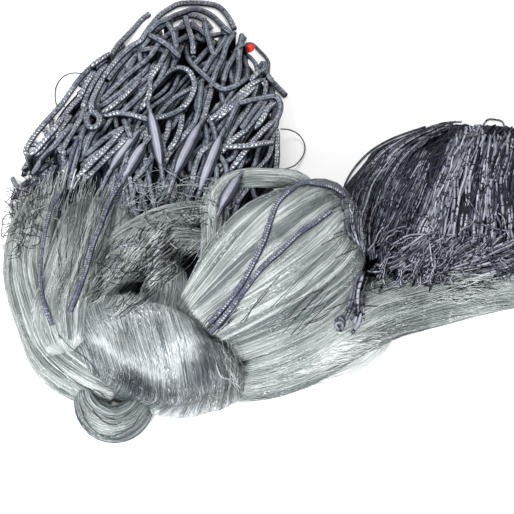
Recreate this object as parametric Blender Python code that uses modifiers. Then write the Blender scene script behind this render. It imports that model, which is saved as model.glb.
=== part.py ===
"""A gill net, gathered up for storage and lying on a table.

The netting is drawn together, bound with a few turns of itself and folded back into a
big lobe and a tail. The float line lies behind it in a loose hank of braided rope, and
the lead line lies to the right in a hank of thin cord. The tables below are in
millimetres, and MM turns them into Blender's metres. X runs to the right, Y away from
the near side and Z up from the table top.
"""
import math
from collections import namedtuple

import bmesh
import bpy
from mathutils import Vector
from mathutils.bvhtree import BVHTree

MM = 0.001
GAP = 0.4  # what separate pieces keep between them
TABLE_SIZE = 1200.0  # the block that trims every underside flat
DROP_HEIGHT = 500.0  # where the rays that feel for the surface start
FEEL_RINGS = ((1, 0.0), (8, 0.35), (12, 0.65), (16, 0.92))  # rays and reach of each ring of them
DRAPE_SPACING = 2.0  # between the places where a run of rope feels the surface
DRAPE_REACH = 4  # how many of those places a stiff rope bridges each way
CURVE_STEPS = 24  # how finely a smooth curve is read between two of its points
TIP_BULGE = 0.35  # how far a lobe's end swells past its last ring, as a share of the ring gap
WELD = 0.01  # points closer than this are one

ROPE_DIAMETER = 4.6
ROPE_SINK = 0.7  # how far a run is pressed into the hank that it is part of
CORD_STEP = 2.8  # tube points along a loose cord, in diameters
RUN_STEP = 3.4  # and along a run of the hank
RUN_RESOLUTION = 1  # a run of the hank has six sides
CORD_RESOLUTION = 2  # a loose cord has eight

PARTS_NAME = "gill_net"
CUTTERS_NAME = "cutters"

# A lobe is a loft: its path, half its width level with the table, half its height, and
# the compass heading of its section's face, or None to follow the path.
Row = namedtuple("Row", "x y z half_width half_height heading", defaults=(None,))
# A fold set is the ridges of gathered net round a lobe: how many, how deep as a share of
# the radius, how far they swirl from end to end, and where the first one stands.
Folds = namedtuple("Folds", "count depth swirl phase")

LOBES = {
    "left_bundle": (
        [
            Row(-76, 158, 13, 9, 9),
            Row(-80, 142, 18, 16, 17),
            Row(-83, 114, 21, 18, 21),
            Row(-83, 82, 22, 17, 23),
            Row(-75, 50, 23, 16, 24),
            Row(-62, 20, 23, 16, 23),
            Row(-44, 4, 21, 14, 20),
            Row(-22, -6, 16, 11, 14),
        ],
        Folds(6, 0.12, 1.2, 0.4),
    ),
    "fan": (
        [
            Row(-37, 142, 34, 16, 8),
            Row(-37, 126, 34, 26, 18),
            Row(-38, 104, 36, 29, 26),
            Row(-41, 80, 38, 29, 32),
            Row(-46, 54, 39, 27, 36),
            Row(-52, 32, 39, 24, 37),
            Row(-50, 12, 36, 16, 28),
        ],
        Folds(8, 0.12, 0.6, 1.1),
    ),
    "upper_stream": (
        [
            Row(39, 122, 49, 5, 6),
            Row(24, 117, 51, 8, 8),
            Row(4, 109, 53, 9, 9),
            Row(-19, 92, 55, 8, 9),
            Row(-34, 74, 55, 8, 9),
            Row(-44, 54, 50, 8, 8),
        ],
        Folds(3, 0.14, 1.0, 2.0),
    ),
    "lower_stream": (
        [
            Row(38, 101, 45, 5, 5),
            Row(23, 100, 48, 7, 8),
            Row(2, 93, 52, 8, 9),
            Row(-12, 82, 55, 7, 9),
            Row(-25, 68, 57, 8, 10),
            Row(-37, 48, 56, 9, 10),
        ],
        Folds(3, 0.14, 1.0, 0.7),
    ),
    "inner_fold": (
        [
            Row(9, 18, 58, 9, 10),
            Row(11, 34, 58, 13, 13),
            Row(12, 50, 55, 14, 14),
            Row(13, 64, 50, 12, 12),
            Row(14, 74, 44, 8, 8),
        ],
        Folds(4, 0.08, 0.3, 1.4),
    ),
    "wrap": (
        [
            Row(-50, 12, 26, 20, 18, 46),
            Row(-40, 10, 29, 33, 29, 46),
            Row(-25, 10, 35, 43, 38, 42),
            Row(-8, 9, 40, 46, 44, 36),
            Row(9, 8, 43, 44, 47, 32),
            Row(25, 7, 42, 38, 46, 32),
            Row(39, 6, 37, 31, 40, 36),
            Row(50, 6, 31, 22, 30, 42),
            Row(58, 7, 27, 10, 14, 44),
        ],
        Folds(8, 0.045, 0.8, 0.2),
    ),
    "ear": (
        [
            Row(32, 21, 44, 22, 30),
            Row(49, 33, 46, 32, 40),
            Row(67, 50, 47, 42, 45),
            Row(86, 68, 48, 48, 47),
            Row(103, 85, 48, 48, 47),
            Row(117, 100, 47, 41, 45),
            Row(129, 110, 45, 31, 36),
            Row(139, 115, 43, 17, 20),
        ],
        Folds(8, 0.09, 0.5, 1.7),
    ),
    "arch": (
        [
            Row(43, 36, 60, 6, 8),
            Row(43, 60, 62, 6, 8),
            Row(43, 88, 60, 6, 7),
            Row(43, 110, 60, 6, 7),
            Row(45, 127, 58, 6, 6),
            Row(53, 141, 56, 6, 6),
            Row(66, 148, 54, 6, 6),
            Row(83, 149, 53, 6, 6),
            Row(101, 145, 54, 7, 7),
            Row(118, 127, 56, 7, 8),
        ],
        Folds(3, 0.14, 2.5, 0.9),
    ),
    "roll": (
        [
            Row(-39, 2, 14, 7, 11),
            Row(-39, -11, 15, 9, 15),
            Row(-33, -23, 15, 11, 16),
            Row(-22, -28, 14, 12, 15),
            Row(-12, -25, 14, 11, 15),
            Row(-5, -17, 14, 9, 15),
            Row(-3, -6, 15, 6, 10),
        ],
        Folds(4, 0.10, 1.5, 0.1),
    ),
    "tail": (
        [
            Row(34, 6, 16, 14, 14),
            Row(50, 8, 17, 18, 17),
            Row(76, 14, 17, 21, 18),
            Row(103, 26, 17, 21, 18),
            Row(131, 46, 17, 21, 18),
            Row(159, 62, 17, 21, 18),
            Row(187, 71, 16, 20, 18),
            Row(216, 78, 16, 19, 17),
            Row(244, 84, 15, 18, 17),
            Row(273, 89, 14, 16, 15),
            Row(292, 92, 12, 13, 13),
            Row(310, 95, 11, 7, 8),
        ],
        Folds(6, 0.12, 1.5, 2.4),
    ),
    "flap": (
        [
            Row(84, 13, 3, 8, 5),
            Row(104, 19, 3, 13, 6),
            Row(124, 28, 3, 17, 6),
            Row(142, 40, 3, 19, 6),
            Row(156, 52, 3, 15, 6),
            Row(167, 61, 3, 7, 5),
        ],
        Folds(3, 0.12, 0.8, 0.0),
    ),
}
FIRST_LOBE = "wrap"  # the one that the rest are joined to
ROUND_LOBES = ["wrap", "ear"]  # these take more rings along them
# Lobes that meet the float line's hank, and those that meet the lead line's hank.
LOBES_ON_FLOAT_LINE = [
    "left_bundle", "fan", "upper_stream", "lower_stream", "inner_fold", "wrap", "ear", "arch",
]
LOBES_ON_LEAD_LINE = ["tail", "flap"]

FLOAT_HANK = [
    Row(6, 54, 15, 26, 14),
    Row(8, 74, 20, 50, 22),
    Row(8, 102, 23, 68, 26),
    Row(5, 132, 25, 83, 28),
    Row(3, 164, 26, 91, 29),
    Row(4, 198, 25, 91, 29),
    Row(9, 232, 22, 85, 26),
    Row(14, 264, 17, 72, 20),
    Row(19, 292, 12, 55, 15),
    Row(21, 314, 8, 37, 10),
    Row(21, 328, 3, 22, 5),
]
FLOAT_HANK_FOLDS = Folds(9, 0.06, 0.3, 0.5)
FLOAT_HANK_SIDES = 36

LEAD_HANK = [
    Row(146, 100, 12, 14, 10),
    Row(153, 109, 18, 31, 18),
    Row(166, 119, 25, 50, 26),
    Row(186, 129, 28, 62, 31),
    Row(207, 140, 29, 67, 33),
    Row(230, 144, 29, 68, 33),
    Row(252, 145, 29, 65, 33),
    Row(274, 145, 28, 58, 30),
    Row(294, 146, 23, 45, 25),
    Row(310, 147, 15, 28, 17),
    Row(318, 147, 9, 14, 10),
]
LEAD_HANK_FOLDS = Folds(9, 0.07, 0.4, 1.0)
LEAD_HANK_SIDES = 34

# The rope's main runs over its hank, as x and y. Each lies over those before it.
ROPE_RUNS = [
    [(-44, 236), (-40, 266), (-30, 296), (-22, 318), (-9, 345), (11, 356), (32, 357), (48, 349), (58, 322), (62, 296)],
    [(-36, 250), (-26, 288), (-10, 318), (6, 335), (24, 341), (40, 336), (48, 318), (44, 296)],
    [(-86, 172), (-90, 196), (-82, 226), (-68, 256), (-50, 286), (-32, 312), (-12, 334)],
    [(-72, 164), (-70, 190), (-61, 222), (-48, 254), (-32, 286), (-16, 312), (2, 328)],
    [(-56, 162), (-53, 190), (-45, 222), (-33, 254), (-18, 286), (-2, 312), (14, 328)],
    [(-38, 168), (-34, 196), (-26, 226), (-13, 258), (2, 290), (14, 314)],
    [(-8, 160), (2, 184), (18, 208), (38, 230), (56, 252), (66, 272), (68, 292)],
    [(18, 156), (26, 178), (38, 200), (51, 220), (62, 240), (71, 262)],
    [(38, 160), (45, 180), (52, 206), (56, 234), (56, 264), (51, 292), (42, 318)],
    [(60, 156), (66, 178), (70, 206), (71, 236), (66, 268), (57, 298)],
    [(84, 160), (90, 184), (93, 208), (92, 236), (86, 262), (74, 290)],
    [(-11, 203), (5, 202), (18, 210), (26, 230), (27, 250), (20, 263), (11, 262), (4, 247), (0, 229), (-7, 211)],
    [(16, 331), (20, 317), (20, 293), (25, 272), (36, 252), (47, 239), (55, 239), (61, 249), (67, 266)],
    [(-62, 216), (-44, 212), (-24, 206), (-4, 192), (12, 174)],
    [(50, 298), (60, 312), (70, 314), (79, 305), (80, 292), (70, 278)],
]

# The floats' two ends, as x and y: each is a foam core inside the braided rope.
FLOAT_DIAMETER = 9.5
FLOATS = [
    [(33, 190), (17, 146)],
    [(48, 177), (34, 137)],
    [(-2, 194), (6, 157)],
    [(-10, 184), (-29, 152)],
    [(-5, 168), (-19, 146)],
    [(-9, 266), (-38, 226)],
    [(61, 142), (49, 112)],
]
# A spindle's outline: the share of its length from one end, and of its radius.
FLOAT_OUTLINE = [(0.0, 0.45), (0.08, 0.62), (0.2, 0.9), (0.38, 1.0)]
MARKER = [(70, 296), (67, 290)]
MARKER_DIAMETER = 5.6
MARKER_OUTLINE = [(0.0, 0.8), (0.2, 1.0)]
SPINDLE_SIDES = 8
STEEPEST = 0.5  # the steepest slope at which a float may lie
SLOPE_STEPS = 20  # how many slopes each way are tried

# A loose cord: its thickness, its material and its route over the rest of the net.
Cord = namedtuple("Cord", "diameter material route")
CORDS = {
    "hanging_cord": Cord(3.0, "rope_lead", [
        (-53.5, 174, 53.5), (-55.5, 158, 53), (-63, 140.5, 50.5), (-70, 122, 50.5),
        (-72.5, 97.5, 53.5), (-72, 65.5, 59.5), (-68.5, 41.5, 68), (-63, 22, 74.5),
        (-59.5, 14.5, 69.8),
    ]),
    "rope_lead_left": Cord(4.0, "rope_lead", [
        (-22, 141.5, 56.2), (-27.5, 127.5, 58), (-30.5, 111.5, 63.5), (-32.5, 95, 69.5),
        (-36.5, 74.5, 75), (-39, 55.5, 77.5), (-43, 34.5, 80.5), (-48, 22, 75.6),
    ]),
    "rope_lead_back": Cord(3.8, "rope_lead", [
        (134.5, 111, 82.1), (125.5, 114.5, 86.6), (115, 113.5, 92.2), (105.5, 112, 95.5),
        (98, 107, 96.1), (87.5, 93.5, 97.5), (82, 76, 98), (78, 62.5, 96.6), (71.5, 48.5, 92.6),
        (63.5, 33.5, 89.2), (54, 21.5, 84.1), (43.5, 11.5, 77.6),
    ]),
    "rope_lead_front": Cord(3.8, "rope_lead", [
        (123, 89.5, 94), (113, 80, 94.6), (101.5, 70.5, 94.6), (90.5, 58, 94.1), (81, 49, 92.6),
        (74.5, 41.5, 91.7), (65.5, 29.5, 88.2), (58, 18.5, 85.6), (49, 9.5, 79.7), (43.5, 5, 76.2),
    ]),
    "lead_line_bight": Cord(2.4, "lead_line", [
        (157, 88, 34.8), (151.5, 80, 34.4), (147.5, 69, 35.2), (145.5, 57, 37.1),
        (144.5, 47.5, 35.7), (142.5, 38.5, 34.2), (138, 32, 33.2),
    ]),
    "twine_right": Cord(1.0, "twine", [
        (91.8, 224, 15.5), (99, 227.5, 10), (106, 226.5, 5), (110, 218, 3), (108, 207.5, 3),
        (101.5, 196.5, 6), (91.9, 185.5, 15.5),
    ]),
    "twine_left": Cord(1.0, "twine", [
        (-57.9, 278, 15.7), (-67.5, 284.5, 9.5), (-76, 284.5, 5), (-81, 276, 3), (-80.5, 263, 4),
        (-77.5, 252, 8.5), (-71.3, 246, 15.4),
    ]),
}

# Each material's colour and roughness.
MATERIALS = {
    "netting": ((0.50, 0.53, 0.52), 0.35),
    "float_line": ((0.12, 0.14, 0.18), 0.60),
    "float": ((0.22, 0.23, 0.28), 0.55),
    "lead_line": ((0.08, 0.09, 0.12), 0.60),
    "rope_lead": ((0.20, 0.21, 0.25), 0.55),
    "twine": ((0.15, 0.17, 0.18), 0.50),
    "marker": ((0.60, 0.02, 0.02), 0.50),
}


def clear_scene():
    """Remove what the file opened with."""
    for thing in list(bpy.data.objects):
        bpy.data.objects.remove(thing, do_unlink=True)


def make_collection(name):
    """A new collection in the scene."""
    collection = bpy.data.collections.new(name)
    bpy.context.scene.collection.children.link(collection)
    return collection


def make_material(name):
    """One Principled material from the table."""
    colour, roughness = MATERIALS[name]
    material = bpy.data.materials.get(name)
    if material is not None:
        return material
    material = bpy.data.materials.new(name)
    material.use_nodes = True
    shader = material.node_tree.nodes["Principled BSDF"]
    shader.inputs["Base Color"].default_value = (*colour, 1.0)
    shader.inputs["Roughness"].default_value = roughness
    shader.inputs["Metallic"].default_value = 0.0
    material.diffuse_color = (*colour, 1.0)
    return material


def catmull_rom(before, start, end, after, share):
    """One value between start and end."""
    square = share * share
    cube = square * share
    return 0.5 * (
        2.0 * start
        + (end - before) * share
        + (2.0 * before - 5.0 * start + 4.0 * end - after) * square
        + (3.0 * start - before - 3.0 * end + after) * cube
    )


def smooth_rows(rows, steps):
    """Rows read from a smooth curve through the given ones, steps to each gap."""
    last = len(rows) - 1
    result = []
    for index in range(last):
        around = [rows[max(index - 1, 0)], rows[index], rows[index + 1], rows[min(index + 2, last)]]
        for step in range(steps):
            share = step / steps
            result.append([catmull_rom(*values, share) for values in zip(*around)])
    result.append(list(rows[-1]))
    return result


def even_route(points, spacing):
    """Points at an even spacing along a smooth curve through the given ones."""
    fine = [Vector(row) for row in smooth_rows(points, CURVE_STEPS)]
    lengths = [0.0]
    for first, second in zip(fine, fine[1:]):
        lengths.append(lengths[-1] + (second - first).length)
    count = max(2, round(lengths[-1] / spacing))
    result = []
    place = 0
    for index in range(count + 1):
        wanted = lengths[-1] * index / count
        while place < len(fine) - 2 and lengths[place + 1] < wanted:
            place += 1
        stretch = lengths[place + 1] - lengths[place]
        result.append(fine[place].lerp(fine[place + 1], (wanted - lengths[place]) / stretch))
    return result


def fold_height(folds, angle, along):
    """How far a fold stands out, from -1 to 1, at an angle round and a share along."""
    turned = angle + folds.swirl * along
    main = math.sin(folds.count * turned + folds.phase)
    cross = math.sin((folds.count // 2 + 1) * turned - 3.1 * along + 2.0 * folds.phase)
    return 0.65 * main + 0.35 * cross


def loft(name, rows, folds, sides, steps, grow=0.0):
    """A closed lobe of gathered net or cord along a table of rows."""
    numbers = [row[:5] for row in rows]
    smooth = smooth_rows(numbers, steps)
    headings = None
    if rows[0].heading is not None:
        headings = smooth_rows([[row.heading] for row in rows], steps)
    shape = bmesh.new()
    rings = []
    centres = [Vector(row[:3]) for row in smooth]
    for index, row in enumerate(smooth):
        ahead = centres[min(index + 1, len(centres) - 1)] - centres[max(index - 1, 0)]
        ahead.normalize()
        if headings is not None:
            turn = math.radians(headings[index][0])
            ahead = Vector((math.cos(turn), math.sin(turn), 0.0))
        side = Vector((0.0, 0.0, 1.0)).cross(ahead).normalized()
        rise = ahead.cross(side)
        along = index / (len(smooth) - 1)
        ring = []
        for corner in range(sides):
            angle = 2.0 * math.pi * corner / sides
            swell = 1.0 + folds.depth * fold_height(folds, angle, along)
            out = side * (math.cos(angle) * (row[3] * swell + grow))
            lift = rise * (math.sin(angle) * (row[4] * swell + grow))
            ring.append(shape.verts.new((centres[index] + out + lift) * MM))
        rings.append(ring)
    for ring, following in zip(rings, rings[1:]):
        for corner in range(sides):
            beside = (corner + 1) % sides
            shape.faces.new((ring[corner], ring[beside], following[beside]))
            shape.faces.new((ring[corner], following[beside], following[corner]))
    for ring, other in ((rings[0], 1), (rings[-1], -2)):
        middle = sum((vertex.co for vertex in ring), Vector()) / sides
        inward = sum((vertex.co for vertex in rings[other]), Vector()) / sides
        outward = middle - inward
        tip = shape.verts.new(middle + outward * TIP_BULGE + outward.normalized() * grow * MM)
        for corner in range(sides):
            shape.faces.new((ring[corner], ring[(corner + 1) % sides], tip))
    bmesh.ops.recalc_face_normals(shape, faces=shape.faces)
    mesh = bpy.data.meshes.new(name)
    shape.to_mesh(mesh)
    shape.free()
    for polygon in mesh.polygons:
        polygon.use_smooth = True
    return bpy.data.objects.new(name, mesh)


def make_cutter(thing, cutters):
    """Put an operand away in the cutters' collection."""
    cutters.objects.link(thing)
    thing.hide_render = True
    thing.display_type = "WIRE"
    return thing


def boolean(target, operand, operation):
    """A Boolean that stays on its object."""
    modifier = target.modifiers.new(operand.name, "BOOLEAN")
    modifier.operation = operation
    modifier.solver = "EXACT"
    modifier.object = operand


def make_table(cutters):
    """The block below the table top, which trims the undersides flat."""
    bpy.ops.mesh.primitive_cube_add(size=TABLE_SIZE * MM, location=(0.0, 0.0, -TABLE_SIZE * MM / 2.0))
    table = bpy.context.object
    table.name = "table_block"
    for owner in list(table.users_collection):
        owner.objects.unlink(table)
    return make_cutter(table, cutters)


def finish_piece(thing, parts, material):
    """Put a piece in the parts' collection with its material."""
    parts.objects.link(thing)
    thing.data.materials.clear()
    thing.data.materials.append(material)
    return thing


def surface_tree(things):
    """One search tree over the evaluated meshes of some objects."""
    bpy.context.view_layer.update()
    graph = bpy.context.evaluated_depsgraph_get()
    points = []
    faces = []
    for thing in things:
        shown = thing.evaluated_get(graph)
        mesh = shown.to_mesh()
        first = len(points)
        points.extend(thing.matrix_world @ vertex.co for vertex in mesh.vertices)
        faces.extend([first + index for index in polygon.vertices] for polygon in mesh.polygons)
        shown.to_mesh_clear()
    return BVHTree.FromPolygons(points, faces)


def resting_height(tree, x, y, radius):
    """The centre height in mm of a ball that rests at x, y on the surface or the table."""
    height = radius
    down = Vector((0.0, 0.0, -1.0))
    for rays, share in FEEL_RINGS:
        reach = share * radius
        for step in range(rays):
            angle = 2.0 * math.pi * step / rays
            place = (x + reach * math.cos(angle), y + reach * math.sin(angle), DROP_HEIGHT)
            hit = tree.ray_cast(Vector(place) * MM, down)[0]
            if hit is not None:
                height = max(height, hit.z / MM + math.sqrt(radius ** 2 - reach ** 2))
    return height


def drape(points, radius, tree):
    """A rope's route laid over the surface, taut enough to bridge small dips."""
    flat = even_route(points, DRAPE_SPACING)
    heights = [resting_height(tree, point.x, point.y, radius) for point in flat]
    bridged = []
    for index in range(len(heights)):
        near = heights[max(index - DRAPE_REACH, 0):index + DRAPE_REACH + 1]
        bridged.append(max(near))
    result = []
    for index, point in enumerate(flat):
        near = bridged[max(index - DRAPE_REACH, 0):index + DRAPE_REACH + 1]
        result.append(Vector((point.x, point.y, sum(near) / len(near))))
    return result


def tube(name, route, diameter, step, resolution):
    """A closed tube along a route, with a point every so many diameters."""
    curve = bpy.data.curves.new(name, "CURVE")
    curve.dimensions = "3D"
    curve.bevel_depth = diameter * MM / 2.0
    curve.bevel_resolution = resolution
    curve.use_fill_caps = True
    spline = curve.splines.new("POLY")
    points = even_route(route, diameter * step)
    spline.points.add(len(points) - 1)
    for place, point in zip(spline.points, points):
        place.co = (*(point * MM), 1.0)
    return bpy.data.objects.new(name, curve)


def as_mesh(thing):
    """The same solid as a welded mesh object, ready for a Boolean."""
    bpy.context.scene.collection.objects.link(thing)
    bpy.context.view_layer.update()
    graph = bpy.context.evaluated_depsgraph_get()
    name = thing.name
    mesh = bpy.data.meshes.new_from_object(thing.evaluated_get(graph))
    matrix = thing.matrix_world.copy()
    bpy.data.objects.remove(thing, do_unlink=True)
    shape = bmesh.new()
    shape.from_mesh(mesh)
    bmesh.ops.remove_doubles(shape, verts=shape.verts, dist=WELD * MM)
    shape.to_mesh(mesh)
    shape.free()
    solid = bpy.data.objects.new(name, mesh)
    solid.matrix_world = matrix
    return solid


def make_lobe(lobe, name, grow=0.0):
    """One lobe of the netting, with enough corners round it for its folds."""
    rows, folds = LOBES[lobe]
    sides = 10 + 2 * folds.count
    steps = 3 if lobe in ROUND_LOBES else 2
    return loft(name, rows, folds, sides, steps, grow)


def make_netting(parts, cutters, table):
    """All the gathered net as one solid."""
    netting = make_lobe(FIRST_LOBE, "netting")
    for name in LOBES:
        if name != FIRST_LOBE:
            boolean(netting, make_cutter(make_lobe(name, name), cutters), "UNION")
    boolean(netting, table, "DIFFERENCE")
    return finish_piece(netting, parts, make_material("netting"))


def make_clearance(names, cutters):
    """The netting's lobes grown by the gap, to cut a hank that lies against them."""
    result = []
    for name in names:
        result.append(make_cutter(make_lobe(name, "round_" + name, GAP), cutters))
    return result


def make_float_line(parts, cutters, table, netting, clearance):
    """The rope's hank with its main runs, as one solid."""
    hank = loft("float_line", FLOAT_HANK, FLOAT_HANK_FOLDS, FLOAT_HANK_SIDES, 2)
    finish_piece(hank, parts, make_material("float_line"))
    below = [netting, hank]
    runs = []
    for number, points in enumerate(ROPE_RUNS):
        tree = surface_tree(below + runs)
        route = drape([(x, y, 0.0) for x, y in points], ROPE_DIAMETER / 2.0 - ROPE_SINK, tree)
        run = tube("run_%02d" % (number + 1), route, ROPE_DIAMETER, RUN_STEP, RUN_RESOLUTION)
        runs.append(make_cutter(as_mesh(run), cutters))
    for run in runs:
        boolean(hank, run, "UNION")
    for grown in clearance:
        boolean(hank, grown, "DIFFERENCE")
    boolean(hank, table, "DIFFERENCE")
    return hank


def make_lead_line(parts, clearance, table):
    """The lead line's hank as one solid."""
    hank = loft("lead_line", LEAD_HANK, LEAD_HANK_FOLDS, LEAD_HANK_SIDES, 2)
    finish_piece(hank, parts, make_material("lead_line"))
    for grown in clearance:
        boolean(hank, grown, "DIFFERENCE")
    boolean(hank, table, "DIFFERENCE")
    return hank


def mirrored(outline):
    """A whole outline from one half, which ends before the middle."""
    return outline + [(1.0 - share, radius) for share, radius in reversed(outline)]


def resting_line(start, end, outline, tree):
    """The heights of both ends of a straight turned piece that rests on the surface."""
    needed = []
    for (share, radius), (next_share, next_radius) in zip(outline, outline[1:]):
        for part in (0.0, 0.33, 0.67, 1.0):
            place = share + (next_share - share) * part
            x = start[0] + (end[0] - start[0]) * place
            y = start[1] + (end[1] - start[1]) * place
            reach = radius + (next_radius - radius) * part + GAP
            needed.append((place, resting_height(tree, x, y, reach)))
    length = math.dist(start, end)
    choices = []
    for step in range(-SLOPE_STEPS, SLOPE_STEPS + 1):
        rise = STEEPEST * length * step / SLOPE_STEPS
        height = max(need - rise * (place - 0.5) for place, need in needed)
        choices.append((height, rise))
    height, rise = min(choices)
    return height - rise / 2.0, height + rise / 2.0


def spindle(name, ends, diameter, half_outline, tree):
    """A turned piece that lies between two points on the surface."""
    start, end = ends
    outline = [(share, radius * diameter / 2.0) for share, radius in mirrored(half_outline)]
    start_height, end_height = resting_line(start, end, outline, tree)
    low = Vector((*start, start_height))
    high = Vector((*end, end_height))
    length = (high - low).length
    points = [(0.0, 0.5)] + [(radius, 0.5 - share) for share, radius in outline] + [(0.0, -0.5)]
    mesh = bpy.data.meshes.new(name)
    corners = [(radius * MM, 0.0, height * length * MM) for radius, height in points]
    edges = [(index, index + 1) for index in range(len(corners) - 1)]
    mesh.from_pydata(corners, edges, [])
    thing = bpy.data.objects.new(name, mesh)
    turned = thing.modifiers.new("turned", "SCREW")
    turned.axis = "Z"
    turned.steps = SPINDLE_SIDES
    turned.render_steps = SPINDLE_SIDES
    turned.use_merge_vertices = True
    turned.merge_threshold = WELD * MM
    turned.use_smooth_shade = True
    thing.location = (low + high) / 2.0 * MM
    thing.rotation_mode = "QUATERNION"
    thing.rotation_quaternion = (high - low).to_track_quat("Z", "Y")
    return thing


def make_floats(parts, tree):
    """Every float, laid on the hank."""
    for number, ends in enumerate(FLOATS):
        name = "float_%02d" % (number + 1)
        piece = spindle(name, ends, FLOAT_DIAMETER, FLOAT_OUTLINE, tree)
        finish_piece(piece, parts, make_material("float"))


def make_cords(parts):
    """Every loose cord along its own route."""
    for name, cord in CORDS.items():
        piece = tube(name, cord.route, cord.diameter, CORD_STEP, CORD_RESOLUTION)
        finish_piece(piece, parts, make_material(cord.material))


def main():
    """Build every piece."""
    clear_scene()
    parts = make_collection(PARTS_NAME)
    cutters = make_collection(CUTTERS_NAME)
    table = make_table(cutters)
    netting = make_netting(parts, cutters, table)
    float_clearance = make_clearance(LOBES_ON_FLOAT_LINE, cutters)
    hank = make_float_line(parts, cutters, table, netting, float_clearance)
    lead_clearance = make_clearance(LOBES_ON_LEAD_LINE, cutters)
    lead_clearance.append(bpy.data.objects["round_ear"])
    make_lead_line(parts, lead_clearance, table)
    laid = surface_tree([netting, hank])
    make_floats(parts, laid)
    marker = spindle("marker", MARKER, MARKER_DIAMETER, MARKER_OUTLINE, laid)
    finish_piece(marker, parts, make_material("marker"))
    make_cords(parts)


main()
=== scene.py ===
# %% [markdown]
# # A gathered gill net
# A gill net is a sheet of thin nylon mesh with a braided float line along its top and a
# cord with lead in it along its bottom. For storage the mesh is drawn together like hair,
# bound with a few turns of itself, and the two lines are laid beside it in loose hanks.
# This lesson dresses the plain solids of such a net. The solids arrive as a fixed frame,
# and every piece made here lies exactly where its solid lies.

# %% Load the frame
import math
from collections import namedtuple

import bpy
import numpy as np
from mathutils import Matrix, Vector
from mathutils.bvhtree import BVHTree


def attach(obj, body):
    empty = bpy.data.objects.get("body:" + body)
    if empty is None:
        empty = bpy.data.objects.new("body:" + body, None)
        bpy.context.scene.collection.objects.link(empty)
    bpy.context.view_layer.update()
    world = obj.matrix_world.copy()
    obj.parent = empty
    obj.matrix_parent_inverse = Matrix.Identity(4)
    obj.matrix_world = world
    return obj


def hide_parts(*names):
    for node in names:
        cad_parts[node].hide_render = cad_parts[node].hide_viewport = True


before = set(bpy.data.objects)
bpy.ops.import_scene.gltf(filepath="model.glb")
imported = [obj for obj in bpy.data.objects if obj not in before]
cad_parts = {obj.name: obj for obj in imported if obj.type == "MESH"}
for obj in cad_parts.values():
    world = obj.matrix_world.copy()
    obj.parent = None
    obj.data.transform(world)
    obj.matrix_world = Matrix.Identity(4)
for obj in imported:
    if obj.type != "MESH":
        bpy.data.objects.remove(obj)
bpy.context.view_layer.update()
MM = 0.001
print("nodes in the frame:", len(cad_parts))

# %% [markdown]
# ## Smooth lines
# Almost everything in a net is a line, so the first tool reads a smooth curve from a few
# given points. A Catmull-Rom curve goes through all its points, which makes a table
# of points easy to think about. NumPy reads the whole curve at once.

# %% Read smooth curves from tables
def smooth(table, count):
    """Rows read from a smooth curve through the rows of a table."""
    table = np.array(table, float)
    place = np.linspace(0.0, len(table) - 1.0, count)
    first = np.minimum(place.astype(int), len(table) - 2)
    share = (place - first)[:, None]
    padded = np.vstack([table[:1], table, table[-1:]])
    before, start, end, after = (padded[first + step] for step in range(4))
    bend = 2.0 * before - 5.0 * start + 4.0 * end - after
    twist = 3.0 * start - before - 3.0 * end + after
    return 0.5 * (2.0 * start + (end - before) * share + bend * share**2 + twist * share**3)


def evenly(points, spacing):
    """The same smooth line with its points at an even spacing."""
    fine = smooth(points, 24 * len(points))
    steps = np.linalg.norm(np.diff(fine, axis=0), axis=1)
    length = np.concatenate([[0.0], np.cumsum(steps)])
    count = max(4, round(length[-1] / spacing) + 1)
    wanted = np.linspace(0.0, length[-1], count)
    columns = [np.interp(wanted, length, fine[:, axis]) for axis in range(fine.shape[1])]
    return np.column_stack(columns)


def line_length(points):
    """How long a line of points is."""
    return float(np.linalg.norm(np.diff(points, axis=0), axis=1).sum())


# %% [markdown]
# ## The camera
# The camera looks down at the table from the near side at 55 degrees through a long lens,
# so that sizes stay nearly true across the net. It stands at a distance where one
# millimetre in the middle of the view is about one and a half pixels.

# %% Place the camera
VIEW_TILT = math.radians(55.0)
VIEW_WIDTH = 0.37
VIEW_AIM = Vector((0.074, 0.118, 0.0))
LENS = 120.0
SENSOR = 36.0

lens = bpy.data.cameras.new("camera")
lens.lens = LENS
lens.sensor_width = SENSOR
lens.clip_start = 0.05
camera = bpy.data.objects.new("camera", lens)
bpy.context.scene.collection.objects.link(camera)
looking = Vector((0.0, math.cos(VIEW_TILT), -math.sin(VIEW_TILT)))
camera.location = VIEW_AIM - looking * (VIEW_WIDTH * LENS / SENSOR)
camera.rotation_euler = looking.to_track_quat("-Z", "Y").to_euler()
bpy.context.scene.camera = camera
print("camera at", [round(value, 3) for value in camera.location])

# %% [markdown]
# ## Nodes written as sums
# Both a material and a Geometry Nodes tree are graphs, and long graphs are hard to read as
# lists of links. Two small classes let the rest of the lesson write them as expressions.
# A `Value` is one output socket, and sums on it add Math nodes. A `Tree` adds every other
# kind of node through one method.

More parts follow.
